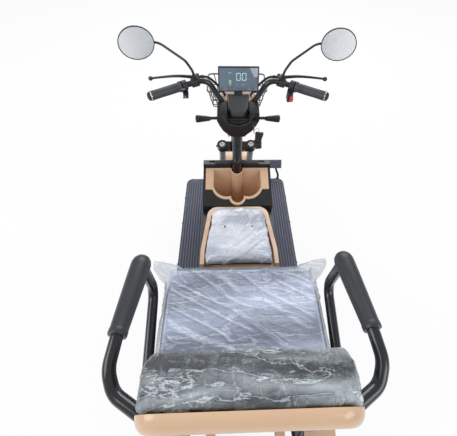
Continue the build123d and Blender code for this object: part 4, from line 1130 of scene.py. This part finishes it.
# ---------------------------------------------------------------- fork, wheels and running gear
def fork_parts():
    """Cream caps with a screw recess, pinch bolts on the crown, and rubber seals on the legs."""
    cap = [(0, 11.8), (0.5, 13.2), (4.5, 13.3), (6.2, 12.2), (6.6, 8), (5.8, 6.2), (4.2, 5.2), (4, 0.6)]
    seal = [(0, 15.8), (0.2, 21.2), (4, 22.2), (12, 22.2), (15, 19), (18.5, 17.2), (19, 15.5)]
    axle_nut = [(0, 8.5), (0.2, 12.5), (9, 12.5), (10.2, 11.5), (10.5, 4)]
    for name, side, _ in both():
        top, low = on_fork(side * 66, 3, 11.2), on_fork(side * 66, 3, -196)
        piece(turned(cap, top, top + column, 32), f"fork_cap_{name}", "steering", "beige_plastic",
              ["fork_caps"] if side < 0 else (), finish=cream)
        piece(turned(seal, low, low + column, 36), f"fork_seal_{name}", "steering", "grip_rubber")
        axle = Vector((side * 0.0755, FRONT_AXLE, WHEEL_HEIGHT))
        bolts = [fastener(on_fork(side * 90, 3, 0), (side, 0, 0), 6, 5),
                 fastener(on_fork(side * 34, -20.2, 0), -ahead, 5.5, 4),
                 turned(axle_nut, axle, axle + Vector((side, 0, 0)), 6)]
        piece(bolts, f"fork_bolts_{name}", "steering", "plain_steel")


def tyres():
    """Tyres of oval section with a centre rib, rows of tread blocks and a bead line."""
    parts, count = [ring_of((0.0376, 0.0335), 0.1600)], 44
    for row, half, height in ((-1, 0.007, 0.1868), (0, 0.0048, 0.1922), (1, 0.007, 0.1868)):
        block = cube((-half, -0.0085, -0.002), (half, 0.0085, 0.0024), 0.001, 1)
        put(block, shift((row * 0.0205, 0, height)) @ Matrix.Rotation(row * 0.42, 4, "Y")
            @ Matrix.Rotation(0.35 * row, 4, "Z"))
        for step in range(count):
            angle = TAU * (step + 0.5 * (row == 0)) / count
            parts.append(twin(block, Matrix.Rotation(angle, 4, "X")))
        bpy.data.objects.remove(block)
    for side in (-1, 1):
        parts.append(put(ring_of((0.0022, 0.0022), 0.1415, 64), shift((side * 0.0325, 0, 0))))
    tyre = join(parts)
    cap = turned([(0, 15.5), (0.2, 22.5), (3, 24), (12, 23.5), (16.5, 21), (18.5, 14), (18.6, 2)],
                 (0, 0, 0), (1, 0, 0), 36)
    for name, body, node, side in (("front", "front_wheel", "front_tyre", 0),
                                   ("rear_left", "rear_wheel_left", "rear_tyre_left", -1),
                                   ("rear_right", "rear_wheel_right", "rear_tyre_right", 1)):
        place = shift((side * HALF_TRACK, REAR_AXLE if side else FRONT_AXLE, WHEEL_HEIGHT))
        piece(twin(tyre, place), f"{name}_tyre_tread", body, "tyre_rubber", [node], 40)
        if side:
            out = place @ shift((side * 0.0385, 0, 0))
            hub = twin(cap, out @ FLIP if side < 0 else out)
            piece(hub, f"{name}_hub_cap", body, "black_trim", angle=30)
        valve = put(rod((0, 0, 0), (0, 0, 0.026), 0.0028, 0.0006), place @ shift((0.012, 0, 0.097)))
        piece(valve, f"{name}_valve", body, "plain_steel", angle=40)
    bpy.data.objects.remove(tyre)
    bpy.data.objects.remove(cap)


def motor():
    """The axle motor's case, with cooling fins and bolted end caps."""
    profile = [(0, 30), (0.2, 60), (4, 66), (16, 66.5), (18, 66.5)]
    for fin in range(13):
        start = 20 + fin * 10.2
        profile += [(start, 64), (start + 0.4, 71.8), (start + 4.2, 71.8), (start + 4.6, 64)]
    profile += [(152, 66.5), (166, 66), (169.8, 60), (170, 30)]
    case = turned(profile, (-0.085, REAR_AXLE, WHEEL_HEIGHT), (0.085, REAR_AXLE, WHEEL_HEIGHT), 64)
    piece(case, "motor_case", "frame", "cast_alloy", ["motor_block"], 30)
    bolts = []
    for side in (-1, 1):
        for step in range(6):
            angle = TAU * step / 6 + 0.3
            y, z = REAR_AXLE + 0.047 * math.cos(angle), WHEEL_HEIGHT + 0.047 * math.sin(angle)
            bolts.append(fastener((side * 0.0848, y, z), (side, 0, 0), 4.8, 4))
    piece(bolts, "motor_bolts", "frame", "plain_steel")


def spring_units():
    """Coil springs round their dampers, each on its foot."""
    profile = [(-20, 6), (-19, 10.5), (0, 11.5), (4, 20.5), (8, 20.5), (8.5, 13), (105, 13), (105.5, 15.5),
               (112, 15.5), (112.5, 6), (208, 6), (208.5, 20.5), (216.5, 20.5), (217, 12), (252, 11),
               (256.5, 6)]
    for name, side, _ in both():
        x, y, low, high = side * 0.134, -0.5695, 0.214, 0.442
        damper = turned(profile, (x, y, low), (x, y, high), 28)
        piece(damper, f"damper_{name}", "frame", "black_frame", ["shocks"] if side < 0 else (), 30)
        turns, points = 8.5, []
        for index in range(int(turns * 10) + 1):
            angle = index / 10 * TAU
            points.append((x + 0.0175 * math.cos(angle), y + 0.0175 * math.sin(angle),
                           low + 0.0095 + 0.197 * index / (turns * 10)))
        piece(wire(points, 0.0033, resolution=2), f"spring_{name}", "frame", "plain_steel", angle=60)
        foot = cube((x - 0.008, y - 0.014, low - 0.018), (x + 0.008, y + 0.034, low + 0.001), 0.003, 3)
        piece(foot, f"spring_foot_{name}", "frame", "black_frame")


def battery_case():
    """The battery box: rounded, with a lid line, ribs and a carrying handle."""
    low, high = (Vector(corner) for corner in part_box("battery"))
    lid = high.z - 0.038
    parts = [cube(low, (high.x, high.y, lid - 0.002), 0.008, 4),
             cube((low.x - 0.001, low.y - 0.001, lid), (high.x + 0.001, high.y + 0.001, high.z), 0.008, 4),
             cube((low.x + 0.004, low.y + 0.004, lid - 0.006),
                  (high.x - 0.004, high.y - 0.004, lid + 0.006))]
    for rear, front in ((low.y - 0.0016, low.y), (high.y, high.y + 0.0016)):
        parts += ribs(9, low.x + 0.025, (high.x - low.x - 0.05) / 8, 0.004, (rear, low.z + 0.02),
                      (front, lid - 0.02))
    piece(parts, "battery_case", "frame", "grey_plastic", ["battery"])
    half = [(-0.055, -0.002), (-0.055, 0.016), (-0.04, 0.022)]
    path = half + [(-x, z) for x, z in half[::-1]]
    handle = wire([(x, (low.y + high.y) / 2, high.z + z) for x, z in path], 0.005)
    piece(handle, "battery_handle", "frame", "black_trim", angle=50)


def pedal_pad():
    """The ribbed rubber pad on the foot brake."""
    place = shift((0.216, 0.5235, 0.330)) @ Matrix.Rotation(math.radians(58), 4, "X")
    parts = [cube((-0.0365, -0.0235, -0.0005), (0.0365, 0.0235, 0.0068), 0.003, 4)]
    parts += ribs(8, -0.0295, 0.00843, 0.0024, (-0.020, 0.0055), (0.020, 0.0086))
    piece(put(join(parts), place), "pedal_pad", "pedal", "mat_rubber", finish=pale_mat)


def lamps():
    """The headlight's bright bezel, and the rims round the rear lamps."""
    centre = on_fork(0, 96, 96)
    bezel = turned([(-6, 42.5), (-5.5, 44.8), (1, 46.2), (5.2, 45.5), (6.2, 43.8), (5.5, 41.8), (1, 40.5)],
                   centre, centre + ahead, 48)
    piece(bezel, "headlight_bezel", "steering", "bright_steel")
    outline = round_corners([(0.039, 0.011), (0.039, 0.021), (0.029, 0.021)])
    rims = [wire([(middle + x, -0.7285, 0.42 + z) for x, z in outline], 0.003, closed=True)
            for middle in (-0.118, 0.118)]
    piece(rims, "tail_lamp_rims", "frame", "black_trim", angle=60)


def frame_bolts():
    """Bolts at the seat, arms, floor and axle."""
    bolts = []
    for side in (-1, 1):
        for y in (-0.25, -0.02, 0.2, 0.36):
            bolts.append(fastener((side * 0.2645, y, 0.2435), (side, 0, 0), 4.2, 3))
        bolts.append(fastener((side * 0.1505, -0.23, 0.35), (side, 0, 0), 6, 3))
        bolts.append(fastener((side * 0.1445, REAR_AXLE, 0.222), (side, 0, 0), 6, 5))
    piece(bolts, "frame_bolts", "frame", "plain_steel")


# ---------------------------------------------------------------- the pieces
put_camera()
studio()
looms()
rider_cushion()
rider_film()
rider_back()
child_cushion()
armrests()
mat_ribs()
tray_insert()
basket_wires()
grips()
levers()
controls()
display_unit()
bar_cover()
signals()
keys()
fork_parts()
tyres()
motor()
spring_units()
battery_case()
pedal_pad()
lamps()
frame_bolts()
